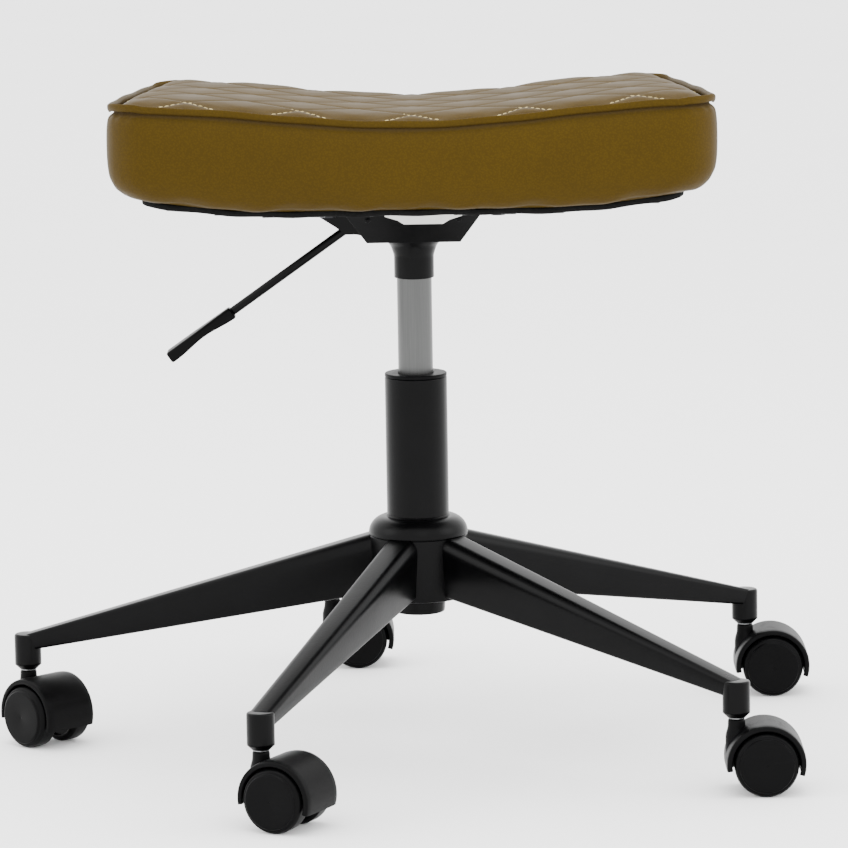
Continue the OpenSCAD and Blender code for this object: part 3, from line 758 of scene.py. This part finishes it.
class STOOL_OT_welt(bpy.types.Operator):
    """Sew the lip that stands up round the top seam"""

    bl_idname = "stool.welt"
    bl_label = "Welt"

    def execute(self, context):
        seat = context.scene.stool_seat
        half_thick = 1.5 * MM
        half_high = 3.1 * MM
        line = bpy.data.curves.new("welt_line", "CURVE")
        line.dimensions = "3D"
        line.twist_mode = "Z_UP"
        places = outline_points(1.2 * MM, 7 * MM)
        spline = line.splines.new("POLY")
        spline.points.add(len(places) - 1)
        for point, (place, way) in zip(spline.points, places):
            ripple = 0.35 * math.sin(place.x * 95 + place.y * 61)
            corner = ease((abs(way.x * way.y) * 2 - 0.2) / 0.6)
            high = seat.band + saddle_at(place.x) - seam_drop(place.y) + (1.6 + ripple + 1.6 * corner) * MM
            point.co = (drawn_in(place.x, place.y), place.y, high, 1)
        spline.use_cyclic_u = True
        section = bpy.data.curves.new("welt_section", "CURVE")
        section.dimensions = "2D"
        ring_line = section.splines.new("POLY")
        count = 14
        ring_line.points.add(count - 1)
        for i, point in enumerate(ring_line.points):
            angle = math.tau * i / count
            lean = 0.5 * MM * math.sin(angle)
            point.co = (half_thick * math.cos(angle) + lean, half_high * math.sin(angle), 0, 1)
        ring_line.use_cyclic_u = True
        shape = bpy.data.objects.new("welt_section", section)
        context.scene.collection.objects.link(shape)
        line.bevel_mode = "OBJECT"
        line.bevel_object = shape
        piece = bpy.data.objects.new("seat_welt_lip", line)
        context.scene.collection.objects.link(piece)
        take(piece)
        bpy.ops.object.convert(target="MESH")
        piece = context.object
        bpy.data.objects.remove(shape)
        edit(piece)
        everything()
        bpy.ops.mesh.remove_doubles(threshold=1e-6)
        bpy.ops.mesh.normals_make_consistent(inside=False)
        leave()
        # painted shade: the lower part of the lip is darkened where it overhangs the band
        crease = piece.data.attributes.new("crease", "FLOAT", "POINT")
        for i, vertex in enumerate(piece.data.vertices):
            under = seat.band + saddle_at(vertex.co.x) - seam_drop(vertex.co.y) - vertex.co.z
            crease.data[i].value = 0.7 * ease((under + 0.4 * MM) / (1.6 * MM))
        piece.data.transform(SEAT)
        smooth(piece, math.radians(60))
        settle(piece, "seat", "top_leather", "seat_welt")
        return {"FINISHED"}


class STOOL_OT_stitching(bpy.types.Operator):
    """Run the contrast stitches along the quilting"""

    bl_idname = "stool.stitching"
    bl_label = "Stitching"

    def execute(self, context):
        seat = context.scene.stool_seat
        cushion = bpy.data.objects["seat_cushion"]
        skin = BVHTree.FromObject(cushion, context.evaluated_depsgraph_get())
        deselect()
        bpy.ops.mesh.primitive_uv_sphere_add(segments=6, ring_count=6, radius=0.5)
        stitch = context.object
        stitch.scale = (1.0 * MM, 1.0 * MM, seat.stitch)
        bpy.ops.object.transform_apply(location=True, rotation=True, scale=True)
        stitch.data.transform(Matrix.Rotation(math.pi / 2, 4, "Y"))
        down = SEAT.to_3x3() @ Vector((0, 0, -1))
        stitches = []
        step = seat.stitch + seat.stitch_gap
        reach = (seat.length + seat.depth) / 2
        margin = 12 * MM
        for slant in (1, -1):
            for row in range(-6, 6):
                offset = (row + 0.5) * seat.quilt_pitch
                for i in range(int(2 * reach / step)):
                    y = -reach + i * step
                    y *= math.sqrt(0.5)
                    x = offset - slant * y
                    if edge_distance(x, y) < margin:
                        continue
                    start = SEAT @ Vector((drawn_in(x, y), y, 2 * seat.band))
                    hit, normal, _, _ = skin.ray_cast(start, down)
                    if hit is None:
                        continue
                    ahead = SEAT @ Vector((drawn_in(x - slant * MM, y + MM), y + MM, 2 * seat.band))
                    onward = skin.ray_cast(ahead, down)[0]
                    way = (onward - hit).normalized()
                    side = normal.cross(way).normalized()
                    up = way.cross(side)
                    turn = Matrix((way, side, up)).transposed().to_4x4()
                    sunk = Matrix.Translation(hit + up * 0.15 * MM)
                    stitches.append(copied(stitch, "stitch", sunk @ turn))
        bpy.data.objects.remove(stitch)
        piece = joined("quilt_stitching", stitches)
        take(piece)
        bpy.ops.object.shade_smooth()
        settle(piece, "seat", "top_leather", finish="thread")
        return {"FINISHED"}


class STOOL_OT_underside(bpy.types.Operator):
    """Close the underside with a felt dust cover and the staples that hold it"""

    bl_idname = "stool.underside"
    bl_label = "Underside"

    def execute(self, context):
        seat = context.scene.stool_seat
        inset = 24 * MM
        low, high = -7 * MM, -2 * MM
        size = (seat.length - 2 * inset, seat.depth - 2 * inset, high - low)
        piece = block("dust_cover_felt", size, (0, 0, (low + high) / 2))
        edit(piece)
        pick(piece, "edges", lambda middle, way: abs(way.z) > 0.9)
        bpy.ops.mesh.bevel(offset=seat.corner - inset / 2, segments=8)
        pick(piece, "polygons", lambda middle, normal: abs(normal.z) > 0.9)
        bpy.ops.mesh.inset(thickness=2.2 * MM)
        bpy.ops.mesh.inset(thickness=10 * MM)
        leave()
        for axis, count, spacing in ((0, 18, 25 * MM), (1, 10, 29 * MM)):
            across = Vector((1, 0, 0)) if axis == 0 else Vector((0, 1, 0))
            for number in range(count):
                edit(piece)
                everything()
                cut = (number - (count - 1) / 2) * spacing
                bpy.ops.mesh.bisect(plane_co=across * cut, plane_no=across)
                leave()
        modify(piece, "SUBSURF", levels=2, render_levels=2)
        for vertex in piece.data.vertices:
            x, y, _ = vertex.co
            inside = edge_distance(x, y, inset)
            sag = 0.5 * math.sin(x * 60) * math.sin(y * 74) * ease(inside / (30 * MM))
            edge = ease((8 * MM - inside) / (8 * MM)) * 0.5 * math.sin(x * 130 + y * 60)
            flat = 1 - ease((86 * MM - math.hypot(x, y)) / (6 * MM))
            vertex.co.z += board_at(x) + (sag * flat + edge) * MM
            vertex.co.x = drawn_in(x, y)
        piece.data.transform(SEAT)
        take(piece)
        bpy.ops.object.shade_smooth()
        settle(piece, "seat", "felt", "dust_cover")
        self.staples(seat, inset, low)
        return {"FINISHED"}

    def staples(self, seat, inset, low):
        crown, leg, thick = 10 * MM, 1.2 * MM, 0.8 * MM
        staple = block("staple", (crown, thick, thick))
        edit(staple)
        pick(staple, "polygons", lambda middle, normal: abs(normal.x) > 0.9)
        bpy.ops.mesh.extrude_faces_move(TRANSFORM_OT_shrink_fatten={"value": thick})
        pick(staple, "polygons", lambda middle, normal: normal.z > 0.9 and abs(middle.x) > crown / 2)
        bpy.ops.mesh.extrude_region_move(TRANSFORM_OT_translate={"value": (0, 0, leg)})
        everything()
        bpy.ops.mesh.bevel(offset=0.18 * MM, segments=1)
        leave()
        staples = []
        for number, (place, way) in enumerate(outline_points(inset + 8 * MM, 38 * MM)):
            if abs(way.x * way.y) > 0.05:
                continue
            wobble = 0.16 * math.sin(number * 2.7)
            turn = Matrix.Rotation(math.atan2(way.y, way.x) + math.pi / 2 + wobble, 4, "Z")
            spot = Matrix.Translation((drawn_in(place.x, place.y), place.y,
                                       low + board_at(place.x) - 0.3 * MM))
            staples.append(copied(staple, "staple", SEAT @ spot @ turn))
        bpy.data.objects.remove(staple)
        piece = joined("staples", staples)
        smooth(piece)
        settle(piece, "seat", "bright_steel")


class STOOL_OT_mechanism(bpy.types.Operator):
    """Round the pressed edges of the plate under the seat, and rivet it"""

    bl_idname = "stool.mechanism"
    bl_label = "Mechanism"

    def execute(self, context):
        plate = rounded_copy("seat_plate", 0.9 * MM)
        settle(plate, "seat", "black_paint", "seat_plate")
        self.rivets()
        return {"FINISHED"}

    def rivets(self):
        """Two peened heads on the pan's front wall and two on its back."""
        head = spun("rivet", softened([(0, 0), (2 * MM, 0), (1.9 * MM, 0.7 * MM), (0, 1.1 * MM)], 0.5 * MM),
                    steps=20)
        foot, mouth, low, high = 50 * MM, 70 * MM, -37 * MM, -7 * MM
        slant = math.atan2(mouth - foot, high - low)
        heads = []
        for x in (-36 * MM, 36 * MM):
            for side in (-1, 1):
                depth = -18 * MM
                y = foot + (mouth - foot) * (depth - low) / (high - low)
                lean = Matrix.Rotation(-side * (math.pi / 2 + slant), 4, "X")
                heads.append(copied(head, "rivet", SEAT @ Matrix.Translation((x, side * y, depth)) @ lean))
        bpy.data.objects.remove(head)
        piece = joined("pan_rivets", heads)
        settle(piece, "seat", "black_paint")


class STOOL_OT_column(bpy.types.Operator):
    """Turn the column: the outer tube, its bush, the gas cylinder and the taper socket"""

    bl_idname = "stool.column"
    bl_label = "Column"

    def execute(self, context):
        turns = context.scene.stool_base.turns
        low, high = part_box("column_tube")
        radius, wall = high.x, 2.5 * MM
        drop, taper_z = 4.5 * MM, low.z + 59 * MM
        pit_z, pit = low.z + 5 * MM, radius - drop - 6 * MM
        tube = spun("column_outer_tube", softened([
            (0, pit_z), (pit, pit_z), (pit, low.z), (radius - drop, low.z), (radius, taper_z),
            (radius, high.z), (radius - wall, high.z),
            (radius - wall, taper_z), (radius - drop - wall, low.z + 9 * MM), (0, low.z + 9 * MM)],
            1.6 * MM), turns)
        settle(tube, "base", "black_paint", "column_tube")

        rim_low = high.z
        low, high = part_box("guide_bush")
        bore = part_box("gas_cylinder")[1].x + 0.1 * MM
        bush = spun("column_bush", softened([
            (bore, (low.z + high.z) / 2), (bore, low.z), (radius - wall, low.z), (radius - wall, rim_low),
            (high.x, rim_low), (high.x, high.z), (bore + 1 * MM, high.z), (bore, high.z - 1 * MM),
            (bore, (low.z + high.z) / 2)], 1.0 * MM), turns)
        settle(bush, "base", "black_plastic", "guide_bush")

        low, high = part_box("gas_cylinder")
        inner = high.x - 1.5 * MM
        chamber = high.z - 90 * MM
        cylinder = spun("gas_lift_cylinder", softened([
            (0, chamber), (inner, chamber), (inner, low.z), (high.x, low.z), (high.x, high.z - 46 * MM),
            (high.x - MM, high.z), (4.2 * MM, high.z), (4.2 * MM, high.z - 14 * MM), (0, high.z - 14 * MM)],
            0.8 * MM), turns)
        settle(cylinder, "seat", "satin_steel", "gas_cylinder")

        low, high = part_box("taper_socket")
        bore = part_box("gas_cylinder")[1].x + 0.2 * MM
        collar, bell = 16 * MM, 23 * MM
        bell_z, pan_z = low.z + 19 * MM, low.z + 33 * MM
        socket = spun("taper_socket_bell", softened([
            (bore, pan_z), (bore, low.z), (collar, low.z), (collar, bell_z - 1 * MM),
            (collar + 2.6 * MM, bell_z + 7 * MM),
            (bell, pan_z - 2 * MM), (bell, pan_z), (bell, pan_z + 1 * MM), (19 * MM, pan_z + 1 * MM),
            (19 * MM, high.z), (bore, high.z), (bore, pan_z)], 1.6 * MM), turns)
        settle(socket, "seat", "black_paint", "taper_socket")
        return {"FINISHED"}


class STOOL_OT_hub(bpy.types.Operator):
    """Turn the hub with its domed cap"""

    bl_idname = "stool.hub"
    bl_label = "Hub"

    def execute(self, context):
        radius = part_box("hub_shell")[1].x
        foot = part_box("hub_sleeve")[0].z + 2 * MM
        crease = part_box("hub_shell")[0].z - 4.5 * MM
        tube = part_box("column_tube")[1].x
        rise = 14 * MM
        steps = 10
        cap = [(radius - rise + rise * math.cos(math.pi / 2 * i / steps),
                crease + MM + rise * math.sin(math.pi / 2 * i / steps)) for i in range(steps + 1)]
        hub = spun("hub_dome", [
            (tube - MM, foot + 20 * MM), (tube - MM, foot), (radius - 3 * MM, foot),
            (radius - 1.2 * MM, foot + 0.6 * MM), (radius - 0.4 * MM, foot + 2.4 * MM),
            (radius - 0.4 * MM, crease - 0.8 * MM), (radius - 1.1 * MM, crease - 0.1 * MM),
            (radius - 1.1 * MM, crease + 0.2 * MM), (radius, crease + 0.7 * MM)] + cap + [
            (tube + 0.8 * MM, crease + rise + 1.3 * MM), (tube, crease + rise + 2 * MM),
            (tube - MM, foot + 20 * MM)], context.scene.stool_base.turns)
        settle(hub, "base", "black_paint", "hub_shell", "hub_sleeve")
        return {"FINISHED"}


class STOOL_OT_arms(bpy.types.Operator):
    """Model one tapered arm with its socket, and turn it round the hub five times"""

    bl_idname = "stool.arms"
    bl_label = "Arms"

    def execute(self, context):
        base = context.scene.stool_base
        arm = self.model(base)
        for k in CASTERS:
            x, y, _ = JOINTS[f"caster_swivel_{k}"]["pos_m"]
            turned = copied(arm, f"base_arm_{k}", Matrix.Rotation(math.atan2(y, x), 4, "Z"))
            smooth(turned)
            settle(turned, "base", "black_paint", f"arm_{k}")
        bpy.data.objects.remove(arm)
        return {"FINISHED"}

    def model(self, base):
        x, y, _ = JOINTS["caster_swivel_1"]["pos_m"]
        reach = math.hypot(x, y)
        low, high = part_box("arm_1")
        root_x = 25 * MM
        root_low, root_high = high.z - 50 * MM, high.z
        tip_high = low.z + 25.4 * MM
        tip_low = tip_high - 13.5 * MM
        socket = 10.75 * MM
        arm = block("arm", (reach - root_x, 1, 1), ((reach + root_x) / 2, 0, 0))
        ends = {
            (False, False): (base.root_foot / 2, root_low),
            (False, True): (base.root_width / 2, root_high),
            (True, False): (socket - 2.5 * MM, tip_low),
            (True, True): (base.tip_width / 2, tip_high),
        }
        middle = (reach + root_x) / 2
        for vertex in arm.data.vertices:
            half, z = ends[vertex.co.x > middle, vertex.co.z > 0]
            vertex.co.y = math.copysign(half, vertex.co.y)
            vertex.co.z = z
        edit(arm)
        pick(arm, "edges", lambda mid, way: abs(way.x) > 0.8 and mid.z > (root_low + tip_low) / 2 + 10 * MM)
        bpy.ops.mesh.bevel(offset_type="PERCENT", offset_pct=base.shoulder, segments=7, clamp_overlap=True)
        pick(arm, "edges", lambda mid, way: abs(way.x) > 0.8 and mid.z < (root_low + tip_low) / 2 + 4 * MM
             and abs(mid.y) > 8 * MM)
        bpy.ops.mesh.bevel(offset=2.2 * MM, segments=3)
        leave()
        shell = spun("socket", softened([
            (0, tip_high - 0.2 * MM), (socket, tip_high - 0.2 * MM), (socket, low.z), (8.6 * MM, low.z),
            (8.6 * MM, tip_high - 3 * MM), (0, tip_high - 3 * MM)], 2.2 * MM, 5), 40)
        shell.data.transform(Matrix.Translation((reach, 0, 0)))
        return joined("arm", [arm, shell])


class STOOL_OT_lever(bpy.types.Operator):
    """Model the lift lever and its scalloped handle"""

    bl_idname = "stool.lever"
    bl_label = "Lever"

    def execute(self, context):
        rod = rounded_copy("lever_rod", 0.5 * MM)
        settle(rod, "lever", "black_paint", "lever_rod")
        pivot = Vector(JOINTS["lever_lift"]["pos_m"])
        slope = math.radians(35)
        reach, length, width = 132 * MM, 62 * MM, 26 * MM
        handle = block("lever_grip", (9.4 * MM, 1, length), (0, 0, reach + length / 2))
        edit(handle)
        for i in range(1, 12):
            everything()
            bpy.ops.mesh.bisect(plane_co=(0, 0, reach + length * i / 12), plane_no=(0, 0, 1))
        leave()
        for vertex in handle.data.vertices:
            share = (vertex.co.z - reach) / length
            half = (6.5 * MM + (width / 2 - 6.5 * MM) * ease(share / 0.75))
            vertex.co.y = math.copysign(half, vertex.co.y)
            scallop = 2.6 * MM * math.sin(math.pi * ease(share / 0.95))
            if vertex.co.x > 0:
                vertex.co.x -= 0.2 * MM
            else:
                vertex.co.x += scallop - 0.8 * MM * (1 - share)
        edit(handle)
        pick(handle, "edges", lambda middle, way: abs(way.z) > 0.8)
        bpy.ops.mesh.bevel(offset=2.4 * MM, segments=4)
        pick(handle, "edges", lambda middle, way: abs(way.z) < 0.3
             and (middle.z < reach + 0.2 * MM or middle.z > reach + length - 0.2 * MM))
        bpy.ops.mesh.bevel(offset=1.4 * MM, segments=3)
        leave()
        handle.data.transform(Matrix.Translation(pivot) @ Matrix.Rotation(-SEAT_TILT, 4, "X")
                              @ Matrix.Rotation(-math.pi / 2 - slope, 4, "Y"))
        smooth(handle, math.radians(50))
        settle(handle, "lever", "black_plastic", "lever_handle")
        return {"FINISHED"}


class STOOL_OT_casters(bpy.types.Operator):
    """Model one twin-wheel caster, and set it under each arm"""

    bl_idname = "stool.casters"
    bl_label = "Casters"

    def execute(self, context):
        settings = context.scene.stool_caster
        joint = JOINTS["wheel_spin_left_1"]
        swivel = JOINTS["caster_swivel_1"]
        trail = (Vector(joint["pos_m"]).xy - Vector(swivel["pos_m"]).xy).length
        axle_z = joint["pos_m"][2]
        hood = self.hood(settings, trail, axle_z)
        wheel = self.wheel(axle_z)
        for k in CASTERS:
            stem = Vector(JOINTS[f"caster_swivel_{k}"]["pos_m"])
            axle = Vector(JOINTS[f"wheel_spin_left_{k}"]["pos_m"])
            way = math.atan2(axle.y - stem.y, axle.x - stem.x)
            place = Matrix.Translation((stem.x, stem.y, 0)) @ Matrix.Rotation(way, 4, "Z")
            cover = copied(hood, f"caster_cover_{k}", place)
            smooth(cover)
            settle(cover, f"caster_{k}", "black_plastic", f"caster_hood_{k}")
            for side, turn in (("left", -math.pi / 2), ("right", math.pi / 2)):
                spot = Matrix.Translation((trail, 0, axle_z)) @ Matrix.Rotation(turn, 4, "X")
                tyre = copied(wheel, f"caster_wheel_{side}_{k}", place @ spot)
                smooth(tyre)
                settle(tyre, f"wheel_{side}_{k}", "wheel_plastic",
                       f"wheel_{side}_{k}")
        bpy.data.objects.remove(hood)
        bpy.data.objects.remove(wheel)
        return {"FINISHED"}

    def hood(self, settings, trail, axle_z):
        outer, half = axle_z + 6 * MM, 24 * MM
        inner, rim = outer - settings.wall, outer - settings.rim
        lip = 3 * MM
        dip = math.asin(5 * MM / outer)
        angle = math.pi + dip + settings.hook
        outline = softened([
            (inner, 0), (inner, half - lip), (rim, half - lip), (rim, half), (outer - 0.6 * MM, half),
            (outer, half - 5 * MM), (outer, 0), (outer, 5 * MM - half), (outer - 0.6 * MM, -half),
            (rim, -half),
            (rim, lip - half), (inner, lip - half), (inner, 0)], 1.8 * MM)
        shell = spun("hood", outline, 44, angle, start=-settings.hook)
        shell.data.transform(Matrix.Translation((trail, 0, axle_z)) @ Matrix.Rotation(math.pi / 2, 4, "X"))
        side, reach = 6 * MM, inner + MM
        web = spun("web", softened([(0, -side), (reach, -side), (reach, side), (0, side)], MM),
                   44, math.pi + 2 * dip, start=-dip)
        web.data.transform(Matrix.Translation((trail, 0, axle_z)) @ Matrix.Rotation(math.pi / 2, 4, "X"))
        top = axle_z + outer + 1.9 * MM
        neck = spun("neck", softened([
            (0, top), (4.3 * MM, top), (6.6 * MM, top - 0.6 * MM), (6.9 * MM, top - 7 * MM),
            (8.6 * MM, top - 13 * MM),
            (8.9 * MM, 24 * MM), (7 * MM, 20 * MM), (0, 20 * MM)], 2 * MM), 36)
        return joined("hood", [shell, web, neck])

    def wheel(self, radius):
        width, bore = 19 * MM, 3.05 * MM
        inner, face = 9 * MM, 9 * MM + width
        tread = 2.4 * MM
        outline = softened([
            (bore, face - 3 * MM), (bore, inner), (6 * MM, inner), (6.4 * MM, inner + 3 * MM),
            (radius - 5 * MM, inner + 3 * MM), (radius - 5 * MM, inner), (radius - tread, inner),
            (radius, inner + tread), (radius, face - 5 * MM), (radius - 1.6 * MM, face - 2.2 * MM),
            (radius - 3.4 * MM, face - 2.0 * MM), (radius - 3.9 * MM, face - 0.2 * MM),
            (radius - 5 * MM, face), (0.02 * MM, face), (0.02 * MM, face - 3 * MM), (bore, face - 3 * MM)],
            0.9 * MM, 3)
        return spun("wheel", outline, 64)


class STOOL_OT_frame_finishes(bpy.types.Operator):
    """Finish every CAD node that still shows, by its slot"""

    bl_idname = "stool.frame_finishes"
    bl_label = "Frame finishes"

    def execute(self, context):
        for row in frame["record"]["subparts"]:
            node = frame["nodes"][row["node"]]
            node.data.materials.clear()
            node.data.materials.append(finishes()[row["material_slot"]])
        return {"FINISHED"}


class STOOL_OT_stage(bpy.types.Operator):
    """Lay the pale floor, and set the soft lights and the camera"""

    bl_idname = "stool.stage"
    bl_label = "Stage"

    def execute(self, context):
        self.floor()
        self.light("light_above", (0.0, 0.1, 2.6), (0, 0, 0.3), 2.2, 42)
        self.light("light_left", (-2.6, -0.6, 1.5), (0, 0, 0.3), 1.8, 26)
        self.light("light_right", (2.6, -0.6, 1.5), (0, 0, 0.3), 1.8, 26)
        self.light("light_front", (0.6, -3.2, 2.2), (0, 0, 0.3), 1.8, 10)
        self.world(context)
        self.camera(context)
        return {"FINISHED"}

    def floor(self):
        deselect()
        bpy.ops.mesh.primitive_plane_add(size=60, location=(0, 0, 0))
        floor = bpy.context.object
        floor.name = "floor"
        made = Recipe("pale_floor", Roughness=0.9)
        speckle = made.noise(made.place(), 3, 2)
        made.set("Base Color", made.mix(speckle, (0.9, 0.9, 0.9), (0.93, 0.93, 0.93)))
        floor.data.materials.append(made.material)

    def light(self, name, place, aim, size, watts):
        lamp = bpy.data.lights.new(name, "AREA")
        lamp.shape = "DISK"
        lamp.size = size
        lamp.energy = watts
        made = bpy.data.objects.new(name, lamp)
        made.location = place
        made.rotation_euler = (Vector(aim) - Vector(place)).to_track_quat("-Z", "Y").to_euler()
        bpy.context.scene.collection.objects.link(made)

    def world(self, context):
        world = context.scene.world or bpy.data.worlds.new("studio")
        context.scene.world = world
        world.use_nodes = True
        sky = world.node_tree.nodes["Background"]
        sky.inputs["Color"].default_value = (1, 1, 1, 1)
        sky.inputs["Strength"].default_value = 3.4

    def camera(self, context):
        stage = context.scene.stool_stage
        lens = bpy.data.cameras.new("camera")
        lens.lens = stage.lens
        lens.sensor_width = 36
        lens.clip_end = 100
        lens.shift_x = 0.0087
        lens.shift_y = 0.0016
        camera = bpy.data.objects.new("camera", lens)
        turn = stage.round_seat
        camera.location = (stage.distance * math.sin(turn), -stage.distance * math.cos(turn), stage.height)
        level = math.pi / 2 - stage.pitch
        camera.rotation_euler = (Matrix.Rotation(turn, 3, "Z") @ Matrix.Rotation(level, 3, "X")
                                 @ Matrix.Rotation(-stage.roll, 3, "Z")).to_euler()
        context.scene.collection.objects.link(camera)
        context.scene.camera = camera


OPERATORS = (
    STOOL_OT_frame_finishes,
    STOOL_OT_cushion,
    STOOL_OT_welt,
    STOOL_OT_stitching,
    STOOL_OT_underside,
    STOOL_OT_mechanism,
    STOOL_OT_column,
    STOOL_OT_hub,
    STOOL_OT_arms,
    STOOL_OT_lever,
    STOOL_OT_casters,
    STOOL_OT_stage,
)


class STOOL_PT_panel(bpy.types.Panel):
    """The stool's sizes, and a button for each of its pieces"""

    bl_idname = "STOOL_PT_panel"
    bl_label = "Swivel Stool"
    bl_space_type = "VIEW_3D"
    bl_region_type = "UI"
    bl_category = "Stool"

    def draw(self, context):
        for group in SETTINGS:
            box = self.layout.box()
            settings = getattr(context.scene, group)
            for name in settings.bl_rna.properties.keys():
                if name not in ("rna_type", "name"):
                    box.prop(settings, name)
        for operator in OPERATORS:
            self.layout.operator(operator.bl_idname)


CLASSES = (*SETTINGS.values(), *OPERATORS, STOOL_PT_panel)


def register():
    for made in CLASSES:
        bpy.utils.register_class(made)
    for name, settings in SETTINGS.items():
        setattr(bpy.types.Scene, name, PointerProperty(type=settings))


def unregister():
    for name in SETTINGS:
        delattr(bpy.types.Scene, name)
    for made in reversed(CLASSES):
        bpy.utils.unregister_class(made)


def main():
    register()
    for operator in OPERATORS:
        group, name = operator.bl_idname.split(".")
        getattr(getattr(bpy.ops, group), name)()


if __name__ == "__main__":
    main()
